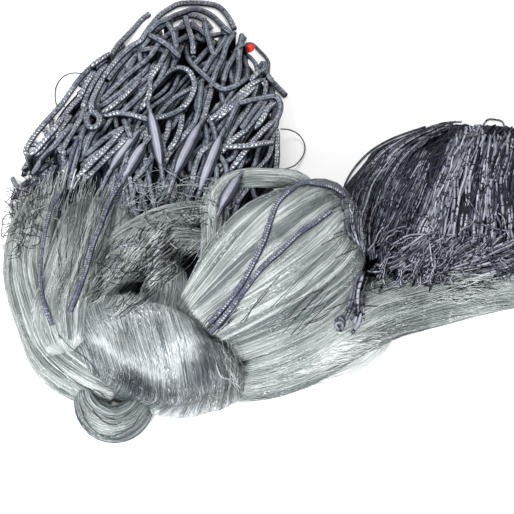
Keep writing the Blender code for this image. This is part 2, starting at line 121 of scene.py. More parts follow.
# %% The node helpers
class Value:
    """An output socket that takes part in ordinary sums."""

    def __init__(self, tree, socket):
        self.tree = tree
        self.socket = socket

    def maths(self, operation, *values):
        return self.tree.node("ShaderNodeMath", {"operation": operation}, dict(enumerate(values)))

    def __add__(self, other):
        return self.maths("ADD", self, other)

    def __radd__(self, other):
        return self.maths("ADD", other, self)

    def __sub__(self, other):
        return self.maths("SUBTRACT", self, other)

    def __rsub__(self, other):
        return self.maths("SUBTRACT", other, self)

    def __mul__(self, other):
        return self.maths("MULTIPLY", self, other)

    def __rmul__(self, other):
        return self.maths("MULTIPLY", other, self)

    def __truediv__(self, other):
        return self.maths("DIVIDE", self, other)

    def __pow__(self, other):
        return self.maths("POWER", self, other)

    def sine(self):
        return self.maths("SINE", self)

    def size(self):
        return self.maths("ABSOLUTE", self)

    def angle(self, beside):
        return self.maths("ARCTAN2", self, beside)

    def whole(self):
        return self.maths("FLOOR", self)

    def fraction(self):
        return self.maths("FRACT", self)

    def clamped(self):
        return self.tree.node("ShaderNodeClamp", {}, {"Value": self, "Min": 0.0, "Max": 1.0})

    def between(self, low, high):
        """The value moved from the range low to high into 0 to 1, with soft ends."""
        settings = {"interpolation_type": "SMOOTHSTEP"}
        sockets = {"Value": self, "From Min": low, "From Max": high, "To Min": 0.0, "To Max": 1.0}
        return self.tree.node("ShaderNodeMapRange", settings, sockets)


class Tree:
    """A node tree that is built by expressions."""

    def __init__(self, tree):
        self.tree = tree

    def find(self, sockets, key):
        """A socket by its number or by its name, among those in use."""
        if isinstance(key, int):
            return sockets[key]
        return next(socket for socket in sockets if socket.name == key and socket.enabled)

    def node(self, kind, settings=None, inputs=None, output=None):
        """Add a node, set it up, feed its sockets and give back one output."""
        made = self.tree.nodes.new(kind)
        for name, value in (settings or {}).items():
            setattr(made, name, value)
        for key, value in (inputs or {}).items():
            self.feed(self.find(made.inputs, key), value)
        if output is None:
            output = next((socket.name for socket in made.outputs if socket.enabled), None)
        return Value(self, self.find(made.outputs, output)) if output is not None else made

    def feed(self, socket, value):
        """Link a value to a socket, or set the socket's own number."""
        if isinstance(value, Value):
            self.tree.links.new(value.socket, socket)
        elif isinstance(value, tuple) and len(value) == 3 and len(socket.default_value) == 4:
            socket.default_value = (*value, 1.0)
        else:
            socket.default_value = value

    def vector(self, operation, *values, output=None):
        sockets = dict(enumerate(values))
        return self.node("ShaderNodeVectorMath", {"operation": operation}, sockets, output)

    def join(self, x, y, z):
        return self.node("ShaderNodeCombineXYZ", {}, {"X": x, "Y": y, "Z": z})

    def noise(self, place, scale, detail=2.0, roughness=0.5):
        sockets = {"Vector": place, "Scale": scale, "Detail": detail, "Roughness": roughness}
        return self.node("ShaderNodeTexNoise", {}, sockets)


print("helpers are ready")

# %% [markdown]
# ## Finishes
# Every finish starts from one class that makes a Principled material and hands back its
# tree. Numbers that are the same all over go straight on the shader. What changes over the
# surface, such as colour and relief, is an expression on the piece's own attributes:
# `along` is the distance along a thread, `ring` goes round it with its y downward, `tone` is
# a number of its own for each thread, and `buried` says how deep a place lies in the heap;
# the rope and cord finishes darken by `buried` as painted shade.

# %% Start a finish
COLOUR_MIX = {"data_type": "RGBA"}
SHADOW = (0.005, 0.008, 0.017)


class Finish(Tree):
    """A material whose colour, roughness and relief are expressions."""

    def __init__(self, name, roughness, specular=0.5, coat=0.0):
        self.material = bpy.data.materials.new(name)
        self.material.use_nodes = True
        super().__init__(self.material.node_tree)
        self.shader = self.tree.nodes["Principled BSDF"]
        self.shader.inputs["Roughness"].default_value = roughness
        self.shader.inputs["Specular IOR Level"].default_value = specular
        self.shader.inputs["Coat Weight"].default_value = coat

    def attribute(self, name, output="Fac"):
        return self.node("ShaderNodeAttribute", {"attribute_name": name}, {}, output)

    def place(self):
        return self.node("ShaderNodeTexCoord", {}, {}, "Object")

    def split(self, vector, axis):
        return self.node("ShaderNodeSeparateXYZ", {}, {"Vector": vector}, axis)

    def mix(self, share, first, second):
        return self.node("ShaderNodeMix", COLOUR_MIX, {"Factor": share, "A": first, "B": second})

    def shaded(self, colour, depth):
        """A colour sunk into shadow as depth goes from 0 to 1."""
        return self.mix(depth.clamped(), colour, SHADOW)

    def round_it(self):
        """The height on a thread's section, -1 below to 1 above, and the angle from its top."""
        ring = self.attribute("ring", "Vector")
        upward = 0.0 - self.split(ring, "Y")
        return upward, self.split(ring, "X").angle(upward)

    def colour(self, value):
        self.feed(self.shader.inputs["Base Color"], value)

    def relief(self, height, depth):
        sockets = {"Height": height, "Distance": depth, "Strength": 1.0}
        self.feed(self.shader.inputs["Normal"], self.node("ShaderNodeBump", {}, sockets))


print("finishes can be made")

# %% [markdown]
# ### Nylon
# The mesh is thin clear nylon. One filament is nearly invisible, but thousands together
# look like pale grey-green silk with sharp white glints. Clear threads would be slow and
# noisy at this size, so each one is opaque, with a `tone` of its own between three greys.
# Where the net is bound, a painted highlight band runs round it, with painted shade under
# it, drawn on the body's flow map. The white glints are painted highlights in the colour.

# %% The nylon threads
# GLINT is the white of the painted glints, mixed into the nylon's colour.
GLINT = (0.96, 0.98, 1.0)
Nylon = namedtuple("Nylon", "crease deep middle pale glint fade band", defaults=(1.0, None, False))


def faded(finish, shade, nylon, along):
    """Lay broad soft patches over a tone, and darken it far along the bundle."""
    shade = shade + (finish.noise(finish.place(), 27.0, 2.0) - 0.5) * 1.1
    if nylon.fade:
        shade = shade - along.between(*nylon.fade) * 0.55
    return shade.clamped()


def shine_band(finish, nylon):
    """A painted highlight band round the bound net, with painted shade under it, from the flow map."""
    if not nylon.band:
        return 0.0
    flow = finish.attribute("flow", "Vector")
    far = finish.split(flow, "X") - 0.38
    ragged = finish.noise(finish.place(), 140.0, 3.0, 0.7) - 0.5
    below = finish.split(flow, "Y") + ragged * 0.05 - (0.380 - far * far * 1.6)
    shine = (1.0 - below.size() * 24.0).clamped().between(0.0, 0.8)
    patchy = finish.noise(finish.place(), 55.0, 2.0).between(0.36, 0.58) * 0.75 + 0.25
    # Painted highlight on the band, and painted shade in a strip just under it.
    return shine * patchy - (1.0 - (below - 0.10).size() * 13.0).clamped() * 0.8


def sparkle(finish, nylon, spot, colour, strength=1.0):
    """Painted glints: sharp white highlights in patches, mixed into a colour."""
    patch = finish.noise(finish.place(), 38.0, 2.0).between(0.43, 0.60)
    spark = finish.noise(spot, 1.0, 1.0).between(0.58, 0.72)
    return finish.mix((spark * patch * nylon.glint * strength).clamped(), colour, GLINT)


def nylon_threads(name, nylon, roughness=0.3, specular=0.6):
    """Thin nylon, each thread with its own tone, painted shade at the edges of its lock and painted glints
    scattered along it.
    """
    finish = Finish(name, roughness, specular)
    # Painted shade: `crest` makes threads at the edge of a lock darker than those in its middle.
    tone = finish.attribute("tone") * 1.25 + finish.attribute("crest") * 0.2 - 0.29
    band = shine_band(finish, nylon)
    shade = faded(finish, tone + band * 0.42, nylon, finish.attribute("along"))
    low = finish.mix((shade * 2.0).clamped(), nylon.deep, nylon.middle)
    high = finish.mix((shade * 2.0 - 1.0).clamped(), low, nylon.pale)
    spot = finish.join(finish.attribute("along") * 420.0, finish.attribute("tone") * 97.0, 0.0)
    finish.colour(sparkle(finish, nylon, spot, high, band + 0.55))
    return finish.material


print("nylon threads can be made")

# %% [markdown]
# The body under the top threads carries the same look as streaks: noise that is stretched
# twenty times longer along the `grain` than across it, at three widths, from single threads
# to whole locks. Between locks the net opens into creases, which are painted dark as shade
# and give the bundle its depth; the crests of the ridges are painted a little lighter.

# %% The nylon body
THREAD_WIDTH = 0.0007
LOCK_WIDTH = 0.0026
FOLD_WIDTH = 0.0100


def nylon_body(name, nylon, roughness=0.4, specular=0.5):
    """Packed threads as streaks along the grain, with painted shade in the creases between locks."""
    finish = Finish(name, roughness, specular)
    grain = finish.attribute("grain", "Vector")
    along = finish.split(grain, "X")
    bend = finish.noise(finish.join(along * 30.0, finish.split(grain, "Y") * 80.0, 0.0), 1.0, 2.0)
    across = finish.split(grain, "Y") + (bend - 0.5) * 0.012

    def streak(length, width, layer):
        spot = finish.join(along / length, across / width, layer)
        return finish.noise(spot, 1.0, 2.0, 0.6)

    thread = streak(0.014, THREAD_WIDTH, 0.0)
    lock = streak(0.030, LOCK_WIDTH, 3.0)
    fold = streak(0.050, FOLD_WIDTH, 7.0)
    # Painted shade: `ridge` makes the crests of the ridges a little lighter than their hollows.
    shade = thread * 1.9 + lock * 0.6 + fold * 0.8 + finish.attribute("ridge") * 0.2 - 1.28
    shade = faded(finish, shade + shine_band(finish, nylon) * 0.42, nylon, along)
    silk = finish.mix(shade, nylon.deep, nylon.pale)
    # Painted shade: the creases between locks and folds are mixed towards the crease colour.
    gap = (1.0 - lock.between(0.30, 0.42)) * (1.0 - fold.between(0.40, 0.56) * 0.8)
    silk = finish.mix((gap * 0.9).clamped(), silk, nylon.crease)
    finish.colour(sparkle(finish, nylon, finish.join(along / 0.0040, across / 0.0009, 11.0), silk))
    finish.relief(thread * 0.35 + lock, 0.0012)
    return finish.material


# BLACK is the colour of the painted shade in the creases between locks.
BLACK = (0.014, 0.018, 0.024)
PALE = Nylon(BLACK, (0.12, 0.14, 0.145), (0.40, 0.445, 0.435), (0.74, 0.78, 0.785), 1.5)
SIDES = {
    "pale": PALE,
    "soft": PALE._replace(middle=(0.30, 0.335, 0.33), pale=(0.64, 0.68, 0.685)),
    "ear": PALE._replace(middle=(0.28, 0.315, 0.31), pale=(0.66, 0.70, 0.705), fade=(0.085, 0.15)),
    "mid": Nylon(BLACK, (0.045, 0.056, 0.064), (0.24, 0.275, 0.28), (0.62, 0.67, 0.68)),
    "clear": Nylon((0.35, 0.37, 0.38), (0.54, 0.57, 0.57), (0.76, 0.79, 0.79), (0.94, 0.96, 0.97)),
}
# band=True gives the bound net its painted highlight band and the painted shade under it.
BOUND = Nylon(BLACK, (0.040, 0.050, 0.060), (0.17, 0.195, 0.20), (0.50, 0.54, 0.56), 0.9, band=True)
BODY = {name: nylon_body("body_" + name, nylon) for name, nylon in SIDES.items()}
NYLON = {name: nylon_threads("nylon_" + name, nylon) for name, nylon in SIDES.items()}
BODY["wrap"] = nylon_body("body_bound", BOUND, 0.32, 0.6)
NYLON["wrap"] = nylon_threads("nylon_bound", BOUND, 0.26, 0.75)
print(len(BODY), "finishes for bodies and as many for threads")

# %% [markdown]
# ### Braided rope
# The float line and its leads are braided from slate yarn with a few white ones. The white
# yarns come up as two rows of short slanting dashes, one on each side of the rope's top.
# Some lengths show them and others don't, so the dashes follow `tone`. The flanks, and the
# runs that lie deep in the heap, get painted shade, since ropes in a heap shade one another,
# and the yarn hardly shines.

# %% The braid
def braid(name, dark, middle, light, stitch, flank):
    """Braided rope: stitch is a dash and its gap in metres, flank how much painted shade darkens its sides.
    """
    finish = Finish(name, 0.6, 0.16)
    upward, turn = finish.round_it()
    climb = finish.attribute("along") * (math.tau / stitch)
    tone = finish.attribute("tone")
    side = turn.size()
    row = (1.0 - (side - 0.58).size() * 3.0).clamped()
    dash = (climb + side * 3.6).sine()
    weave = (climb * 1.5 + turn * 3.0).sine() * (climb * 1.5 - turn * 3.0).sine()
    worn = finish.noise(finish.place(), 520.0, 3.0, 0.7)
    body = finish.mix((worn * 2.4 - 0.78 + weave * 0.35).clamped(), dark, middle)
    patch = finish.noise(finish.place(), 60.0, 2.0).between(0.36, 0.52)
    frayed = finish.noise(finish.place(), 420.0, 2.0).between(0.36, 0.52)
    fleck = row.between(0.0, 0.5) * dash.between(-0.3, 0.4) * tone.between(0.4, 0.95)
    body = finish.mix((fleck * patch * frayed).clamped(), body, light)
    # Painted shade on the flanks of the rope and where it lies buried in the heap.
    sunk = finish.attribute("buried") * 1.3 + (1.0 - upward.between(-0.25, 0.9)) * flank
    finish.colour(finish.shaded(body, sunk))
    finish.relief(dash * row * 0.6 + weave * 0.3, 0.0004)
    return finish.material


FLOAT_ROPE = braid("float_rope", (0.022, 0.028, 0.046), (0.32, 0.35, 0.405), (0.92, 0.94, 0.98),
                   stitch=0.0028, flank=1.2)
LEAD_ROPE = braid("rope_lead_braid", (0.030, 0.034, 0.056), (0.17, 0.18, 0.24), (0.60, 0.62, 0.69),
                  stitch=0.0019, flank=1.0)
# Dark yarn for the real twine, and for the thin dark lines of painted shade in the net's creases.
TWINE_AND_SHADE_LINES = braid("twine_twist", (0.02, 0.024, 0.03), (0.12, 0.13, 0.145), (0.30, 0.32, 0.34),
              stitch=0.0020, flank=0.4)
print("braids made")

# %% [markdown]
# ### Lead cord, floats and marker
# The lead line is a thin slate cord with short dark stretches where the lead sits inside
# it. The floats are foam spindles inside the rope, so their skin is the same yarn,
# stretched smooth, with a painted highlight along the middle and painted shade on its
# sides. The marker is a turn of red tape.

# %% The other finishes
def dashed_cord(name, dark, light, dash):
    """Thin cord with short dark stretches of uneven length along it."""
    finish = Finish(name, 0.55, 0.2)
    upward, turn = finish.round_it()
    tone = finish.attribute("tone")
    blot = finish.noise(finish.place(), 160.0, 2.0)
    along = finish.attribute("along") / dash + tone * 9.0 + blot * 3.0
    mark = along.fraction().between(0.60, 0.72) * (1.0 - along.fraction().between(0.9, 1.0))
    mark = mark * finish.noise(finish.place(), 90.0, 1.0).between(0.36, 0.48)
    body = finish.mix((tone * 0.9 + blot * 0.9 - 0.55).clamped(), dark, light)
    body = finish.mix((mark * 0.95).clamped(), body, (0.004, 0.005, 0.009))
    # Painted shade on the cord's sides and where it lies buried in the hank.
    sunk = finish.attribute("buried") + (1.0 - upward.between(-0.4, 0.9)) * 1.1
    finish.colour(finish.shaded(body, sunk))
    return finish.material


def plain_mound(name, dark, light, scale):
    """The inside of a hank in painted shade, seen only between its cords."""
    finish = Finish(name, 0.8, 0.1)
    speck = finish.noise(finish.place(), scale, 3.0, 0.7)
    finish.colour(finish.mix(speck.between(0.5, 0.75), dark, light))
    finish.relief(speck, 0.003)
    return finish.material


def float_skin(name):
    """Yarn drawn tight over a foam core: fine lines along it, a painted highlight along the middle and
    painted shade on the sides.
    """
    finish = Finish(name, 0.36, 0.5)
    upward, turn = finish.round_it()
    ribs = (turn * 11.0).sine() * 0.5 + 0.5
    worn = finish.noise(finish.place(), 150.0, 3.0)
    # Painted highlight along the top of the float, and painted shade down its sides.
    shine = upward.between(0.3, 1.0)
    pale = (ribs * 0.15 + worn * 0.5 + shine ** 8.0 * 0.9 - 0.36).clamped()
    skin = finish.mix(pale, (0.026, 0.030, 0.048), (0.33, 0.34, 0.41))
    finish.colour(finish.shaded(skin, 1.0 - upward.between(-0.4, 0.75)))
    finish.relief(ribs, 0.0003)
    return finish.material


LEAD_CORD = dashed_cord("lead_cord", (0.030, 0.034, 0.052), (0.48, 0.50, 0.58), 0.0090)
# A darker copy of the lead cord: painted shade for the cords that show deep in the hank.
LEAD_CORD_SHADED = dashed_cord("lead_cord_deep", (0.005, 0.006, 0.011), (0.06, 0.066, 0.09), 0.0105)
# Both mounds are near black: painted shade for the inside of each hank.
ROPE_MOUND = plain_mound("rope_mound", (0.006, 0.008, 0.014), (0.05, 0.06, 0.085), 200.0)
LEAD_MOUND = plain_mound("lead_mound", (0.003, 0.0035, 0.007), (0.03, 0.034, 0.05), 260.0)
FLOAT_SKIN = float_skin("float_skin")
RED_TAPE = Finish("red_tape", 0.4)
fibres = RED_TAPE.noise(RED_TAPE.place(), 500.0)
RED_TAPE.colour(RED_TAPE.mix(fibres, (0.60, 0.006, 0.006), (0.90, 0.04, 0.03)))
print("all finishes made")

# %% [markdown]
# ## Threads from lines
# A rope is a line with a round section. Here the lines are loose edges in a mesh, each
# point with its own thickness and tone, and a small Geometry Nodes tree turns them into
# tubes. The tree also stores `along` and `ring`, which the braid finishes read. The same
# few nodes end the other tree below, so they live in a function.

# %% Turn curves into tubes inside a tree
def keep(tree, geometry, name, value, kind="FLOAT"):
    """Store a value on every point under a name."""
    settings = {"data_type": kind, "domain": "POINT"}
    sockets = {"Geometry": geometry, "Name": name, "Value": value}
    return tree.node("GeometryNodeStoreNamedAttribute", settings, sockets)


def named(tree, name, kind="FLOAT"):
    """Read a stored value."""
    return tree.node("GeometryNodeInputNamedAttribute", {"data_type": kind}, {"Name": name})


def add_tubes(tree, curves, thickness, sides, material):
    """Round tubes along curves, which remember the way along and round them."""
    curves = tree.node("GeometryNodeSetCurveNormal", {"mode": "Z_UP"}, {"Curve": curves})
    length = tree.node("GeometryNodeSplineParameter", {}, {}, "Length")
    curves = keep(tree, curves, "along", length)
    circle = tree.node("GeometryNodeCurvePrimitiveCircle", {}, {"Resolution": sides, "Radius": 1.0})
    circle = keep(tree, circle, "ring", tree.node("GeometryNodeInputPosition"), "FLOAT_VECTOR")
    sockets = {"Curve": curves, "Profile Curve": circle, "Scale": thickness * 0.5, "Fill Caps": True}
    tubes = tree.node("GeometryNodeCurveToMesh", {}, sockets)
    tubes = tree.node("GeometryNodeRealizeInstances", {}, {"Geometry": tubes})
    return tree.node("GeometryNodeSetMaterial", {}, {"Geometry": tubes, "Material": material})


print("tubes can be added to a tree")

# %% [markdown]
# A recipe is a tree that asks for its sizes by name, so that one tree serves many pieces.
# The first one reads loose edges as curves and hands them to the tubes.

# %% The recipe for ropes
class Recipe(Tree):
    """A Geometry Nodes tree with named inputs."""

    def __init__(self, name):
        super().__init__(bpy.data.node_groups.new(name, "GeometryNodeTree"))
        self.shape = self.ask("Shape", "Geometry")
        self.tree.interface.new_socket("Shape", in_out="OUTPUT", socket_type="NodeSocketGeometry")

    def ask(self, name, kind="Float"):
        """A new input of the tree."""
        self.tree.interface.new_socket(name, in_out="INPUT", socket_type="NodeSocket" + kind)
        return self.node("NodeGroupInput", {}, {}, name)

    def answer(self, geometry):
        """What the tree gives back."""
        made = self.tree.nodes.new("NodeGroupOutput")
        self.tree.links.new(geometry.socket, made.inputs[0])


def rope_recipe():
    """Loose edges into round ropes."""
    tree = Recipe("ropes_from_edges")
    sides = tree.ask("Sides", "Int")
    material = tree.ask("Finish", "Material")
    curves = tree.node("GeometryNodeMeshToCurve", {}, {"Mesh": tree.shape})
    tree.answer(add_tubes(tree, curves, named(tree, "girth"), sides, material))
    return tree.tree


ROPE_RECIPE = rope_recipe()
print("rope recipe has", len(ROPE_RECIPE.nodes), "nodes")

# %% [markdown]
# A modifier's inputs are set by the socket's own identifier before Blender looks at the
# object. The result is then kept as a plain mesh, so that nothing is left to compute.

# %% Apply a recipe
def apply_recipe(thing, recipe, values):
    """Run a recipe on an object and keep its result as the object's own mesh."""
    scene = bpy.context.scene.collection
    if thing.name not in scene.objects:
        scene.objects.link(thing)
    modifier = thing.modifiers.new("recipe", "NODES")
    modifier.node_group = recipe
    for item in recipe.interface.items_tree:
        if item.in_out == "INPUT" and item.name in values:
            modifier[item.identifier] = values[item.name]
    graph = bpy.context.evaluated_depsgraph_get()
    mesh = bpy.data.meshes.new_from_object(thing.evaluated_get(graph))
    thing.modifiers.remove(modifier)
    thing.data = mesh
    mesh.name = thing.name
    mesh.polygons.foreach_set("use_smooth", [True] * len(mesh.polygons))
    return thing


print("recipes can be applied")

# %% [markdown]
# A rope starts as a line of points with a girth and a tone. NumPy puts many lines in one
# mesh at once, which is far quicker than making a curve object for each. Every finished
# piece then says what it rides on and which solid it stands for.

# %% Make ropes from lines
Line = namedtuple("Line", "points girth tone buried", defaults=(0.0,))


def lines_object(name, lines):
    """Lines of points in millimetres as loose edges, with their thickness and tone."""
    places = np.concatenate([line.points for line in lines]) * MM
    edges = []
    start = 0
    for line in lines:
        edges.extend((start + step, start + step + 1) for step in range(len(line.points) - 1))
        start += len(line.points)
    mesh = bpy.data.meshes.new(name)
    mesh.from_pydata(places.tolist(), edges, [])
    for key, scale in (("girth", MM), ("tone", 1.0), ("buried", 1.0)):
        values = [np.broadcast_to(getattr(line, key), len(line.points)) for line in lines]
        values = (np.concatenate(values) * scale).astype(np.float32)
        mesh.attributes.new(key, "FLOAT", "POINT").data.foreach_set("value", values)
    return bpy.data.objects.new(name, mesh)


def make_ropes(name, lines, material, sides=8):
    """Ropes along lines, as one plain mesh."""
    return apply_recipe(lines_object(name, lines), ROPE_RECIPE, {"Sides": sides, "Finish": material})


def settle(piece, slot, *nodes):
    """Ride on the net and stand for the solids that the piece dresses; slot is not used."""
    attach(piece, "root")
    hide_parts(*nodes)
    print(piece.name, "has", len(piece.data.polygons), "faces")


print("ropes can be made and settled")

# %% [markdown]
# ## The loose cords
# Seven lengths of cord lie free on the net: the leads that run from the hanks over the
# mesh, one bight of lead line and two loops of twine. Each leaves a hank and goes back
# into the net, and what lies between is its whole visible length. The routes are the same
# as those of the solids, in metres.

# %% The loose cords' routes
Cord = namedtuple("Cord", "diameter slot finish stiffness route")
CORDS = {
    "hanging_cord": Cord(0.0030, "rope_lead", LEAD_ROPE, "limp", [
        (-0.0535, 0.174, 0.0535), (-0.0555, 0.158, 0.053), (-0.063, 0.1405, 0.0505),
        (-0.07, 0.122, 0.0505), (-0.0725, 0.0975, 0.0535), (-0.072, 0.0655, 0.0595),
        (-0.0685, 0.0415, 0.068), (-0.063, 0.022, 0.0745), (-0.0595, 0.0145, 0.0698),
    ]),
    "rope_lead_left": Cord(0.0040, "rope_lead", LEAD_ROPE, "limp", [
        (-0.022, 0.1415, 0.0562), (-0.0275, 0.1275, 0.058), (-0.0305, 0.1115, 0.0635),
        (-0.0325, 0.095, 0.0695), (-0.0365, 0.0745, 0.075), (-0.039, 0.0555, 0.0775),
        (-0.043, 0.0345, 0.0805), (-0.048, 0.022, 0.0756),
    ]),
    "rope_lead_back": Cord(0.0038, "rope_lead", LEAD_ROPE, "limp", [
        (0.1345, 0.111, 0.0821), (0.1255, 0.1145, 0.0866), (0.115, 0.1135, 0.0922),
        (0.1055, 0.112, 0.0955), (0.098, 0.107, 0.0961), (0.0875, 0.0935, 0.0975),
        (0.082, 0.076, 0.098), (0.078, 0.0625, 0.0966), (0.0715, 0.0485, 0.0926),
        (0.0635, 0.0335, 0.0892), (0.054, 0.0215, 0.0841), (0.0435, 0.0115, 0.0776),
    ]),
    "rope_lead_front": Cord(0.0038, "rope_lead", LEAD_ROPE, "limp", [
        (0.123, 0.0895, 0.094), (0.113, 0.08, 0.0946), (0.1015, 0.0705, 0.0946),
        (0.0905, 0.058, 0.0941), (0.081, 0.049, 0.0926), (0.0745, 0.0415, 0.0917),
        (0.0655, 0.0295, 0.0882), (0.058, 0.0185, 0.0856), (0.049, 0.0095, 0.0797),
        (0.0435, 0.005, 0.0762),
    ]),
    "lead_line_bight": Cord(0.0024, "lead_line", LEAD_CORD, "limp", [
        (0.157, 0.088, 0.0348), (0.1515, 0.08, 0.0344), (0.1475, 0.069, 0.0352),
        (0.1455, 0.057, 0.0371), (0.1445, 0.0475, 0.0357), (0.1425, 0.0385, 0.0342),
        (0.138, 0.032, 0.0332),
    ]),
    "twine_right": Cord(0.0010, "twine", TWINE_AND_SHADE_LINES, "medium", [
        (0.0918, 0.224, 0.0155), (0.099, 0.2275, 0.01), (0.106, 0.2265, 0.005),
        (0.11, 0.218, 0.003), (0.108, 0.2075, 0.003), (0.1015, 0.1965, 0.006),
        (0.0919, 0.1855, 0.0155),
    ]),
    "twine_left": Cord(0.0010, "twine", TWINE_AND_SHADE_LINES, "medium", [
        (-0.0579, 0.278, 0.0157), (-0.0675, 0.2845, 0.0095), (-0.076, 0.2845, 0.005),
        (-0.081, 0.276, 0.003), (-0.0805, 0.263, 0.004), (-0.0775, 0.252, 0.0085),
        (-0.0713, 0.246, 0.0154),
    ]),
}
print("cords with a route:", ", ".join(CORDS))

# %% [markdown]
# A cord is made as a rope along its route, with its thickness. Its length is measured
# along the same smooth path that the rope is made on.

CORD_SPACING = 0.0012
CORD_TONE = 0.9
CORD_SIDES = 10

for name, cord in CORDS.items():
    path = evenly(cord.route, CORD_SPACING)
    line = Line(path / MM, cord.diameter / MM, CORD_TONE)
    piece = make_ropes("loose_" + name, [line], cord.finish, CORD_SIDES)
    settle(piece, cord.slot, name)
    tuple(cord.route[0])
    print(name, round(line_length(path), 3), "m")

# %% [markdown]
# ## The gathered net
# A gathered bundle of net is a loft: a path, and at each place along it a width, a height
# and a set of folds round it. The tables are in millimetres and are the same as those of
# the solids, so the bodies fit them. What is added here is fine: small ridges along each
# bundle, a map called `flow` that says how far along and how far round a point is, and a
# number called `ridge` that is high on the crests.

# %% The bundles' tables
Row = namedtuple("Row", "x y z half_width half_height heading", defaults=(None,))
Folds = namedtuple("Folds", "count depth swirl phase")
LOBES = {
    "left_bundle": ([
        Row(-76, 158, 13, 9, 9), Row(-80, 142, 18, 16, 17), Row(-83, 114, 21, 18, 21),
        Row(-83, 82, 22, 17, 23), Row(-75, 50, 23, 16, 24), Row(-62, 20, 23, 16, 23),
        Row(-44, 4, 21, 14, 20), Row(-22, -6, 16, 11, 14),
    ], Folds(6, 0.12, 1.2, 0.4)),
    "fan": ([
        Row(-37, 142, 34, 16, 8), Row(-37, 126, 34, 26, 18), Row(-38, 104, 36, 29, 26),
        Row(-41, 80, 38, 29, 32), Row(-46, 54, 39, 27, 36), Row(-52, 32, 39, 24, 37),
        Row(-50, 12, 36, 16, 28),
    ], Folds(8, 0.12, 0.6, 1.1)),
    "upper_stream": ([
        Row(39, 122, 49, 5, 6), Row(24, 117, 51, 8, 8), Row(4, 109, 53, 9, 9),
        Row(-19, 92, 55, 8, 9), Row(-34, 74, 55, 8, 9), Row(-44, 54, 50, 8, 8),
    ], Folds(3, 0.14, 1, 2)),
    "lower_stream": ([
        Row(38, 101, 45, 5, 5), Row(23, 100, 48, 7, 8), Row(2, 93, 52, 8, 9),
        Row(-12, 82, 55, 7, 9), Row(-25, 68, 57, 8, 10), Row(-37, 48, 56, 9, 10),
    ], Folds(3, 0.14, 1, 0.7)),
    "inner_fold": ([
        Row(9, 18, 58, 9, 10), Row(11, 34, 58, 13, 13), Row(12, 50, 55, 14, 14),
        Row(13, 64, 50, 12, 12), Row(14, 74, 44, 8, 8),
    ], Folds(4, 0.08, 0.3, 1.4)),
    "wrap": ([
        Row(-50, 12, 26, 20, 18, 46), Row(-40, 10, 29, 33, 29, 46), Row(-25, 10, 35, 43, 38, 42),
        Row(-8, 9, 40, 46, 44, 36), Row(9, 8, 43, 44, 47, 32), Row(25, 7, 42, 38, 46, 32),
        Row(39, 6, 37, 31, 40, 36), Row(50, 6, 31, 22, 30, 42), Row(58, 7, 27, 10, 14, 44),
    ], Folds(8, 0.045, 0.8, 0.2)),
    "ear": ([
        Row(32, 21, 44, 22, 30), Row(49, 33, 46, 32, 40), Row(67, 50, 47, 42, 45),
        Row(86, 68, 48, 48, 47), Row(103, 85, 48, 48, 47), Row(117, 100, 47, 41, 45),
        Row(129, 110, 45, 31, 36), Row(139, 115, 43, 17, 20),
    ], Folds(8, 0.09, 0.5, 1.7)),
    "arch": ([
        Row(43, 36, 60, 6, 8), Row(43, 60, 62, 6, 8), Row(43, 88, 60, 6, 7),
        Row(43, 110, 60, 6, 7), Row(45, 127, 58, 6, 6), Row(53, 141, 56, 6, 6),
        Row(66, 148, 54, 6, 6), Row(83, 149, 53, 6, 6), Row(101, 145, 54, 7, 7),
        Row(118, 127, 56, 7, 8),
    ], Folds(3, 0.14, 2.5, 0.9)),
    "roll": ([
        Row(-39, 2, 14, 7, 11), Row(-39, -11, 15, 9, 15), Row(-33, -23, 15, 11, 16),
        Row(-22, -28, 14, 12, 15), Row(-12, -25, 14, 11, 15), Row(-5, -17, 14, 9, 15),
        Row(-3, -6, 15, 6, 10),
    ], Folds(4, 0.1, 1.5, 0.1)),
    "tail": ([
        Row(34, 6, 16, 14, 14), Row(50, 8, 17, 18, 17), Row(76, 14, 17, 21, 18),
        Row(103, 26, 17, 21, 18), Row(131, 46, 17, 21, 18), Row(159, 62, 17, 21, 18),
        Row(187, 71, 16, 20, 18), Row(216, 78, 16, 19, 17), Row(244, 84, 15, 18, 17),
        Row(273, 89, 14, 16, 15), Row(292, 92, 12, 13, 13), Row(310, 95, 11, 7, 8),
    ], Folds(6, 0.12, 1.5, 2.4)),
    "flap": ([
        Row(84, 13, 3, 8, 5), Row(104, 19, 3, 13, 6), Row(124, 28, 3, 17, 6),
        Row(142, 40, 3, 19, 6), Row(156, 52, 3, 15, 6), Row(167, 61, 3, 7, 5),
    ], Folds(3, 0.12, 0.8, 0)),
}
FLOAT_HANK = ([
    Row(6, 54, 15, 26, 14), Row(8, 74, 20, 50, 22), Row(8, 102, 23, 68, 26),
    Row(5, 132, 25, 83, 28), Row(3, 164, 26, 91, 29), Row(4, 198, 25, 91, 29),
    Row(9, 232, 22, 85, 26), Row(14, 264, 17, 72, 20), Row(19, 292, 12, 55, 15),
    Row(21, 314, 8, 37, 10), Row(21, 328, 3, 22, 5),
], Folds(9, 0.06, 0.3, 0.5))
LEAD_HANK = ([
    Row(146, 100, 12, 14, 10), Row(153, 109, 18, 31, 18), Row(166, 119, 25, 50, 26),
    Row(186, 129, 28, 62, 31), Row(207, 140, 29, 67, 33), Row(230, 144, 29, 68, 33),
    Row(252, 145, 29, 65, 33), Row(274, 145, 28, 58, 30), Row(294, 146, 23, 45, 25),
    Row(310, 147, 15, 28, 17), Row(318, 147, 9, 14, 10),
], Folds(9, 0.07, 0.4, 1))
print(len(LOBES), "bundles of net and two hanks")

# %% [markdown]
# The ridges along a bundle must close round it, or a seam shows. A small grid of random
# heights, read with soft steps and wrapped round at its edge, gives ridges that do.

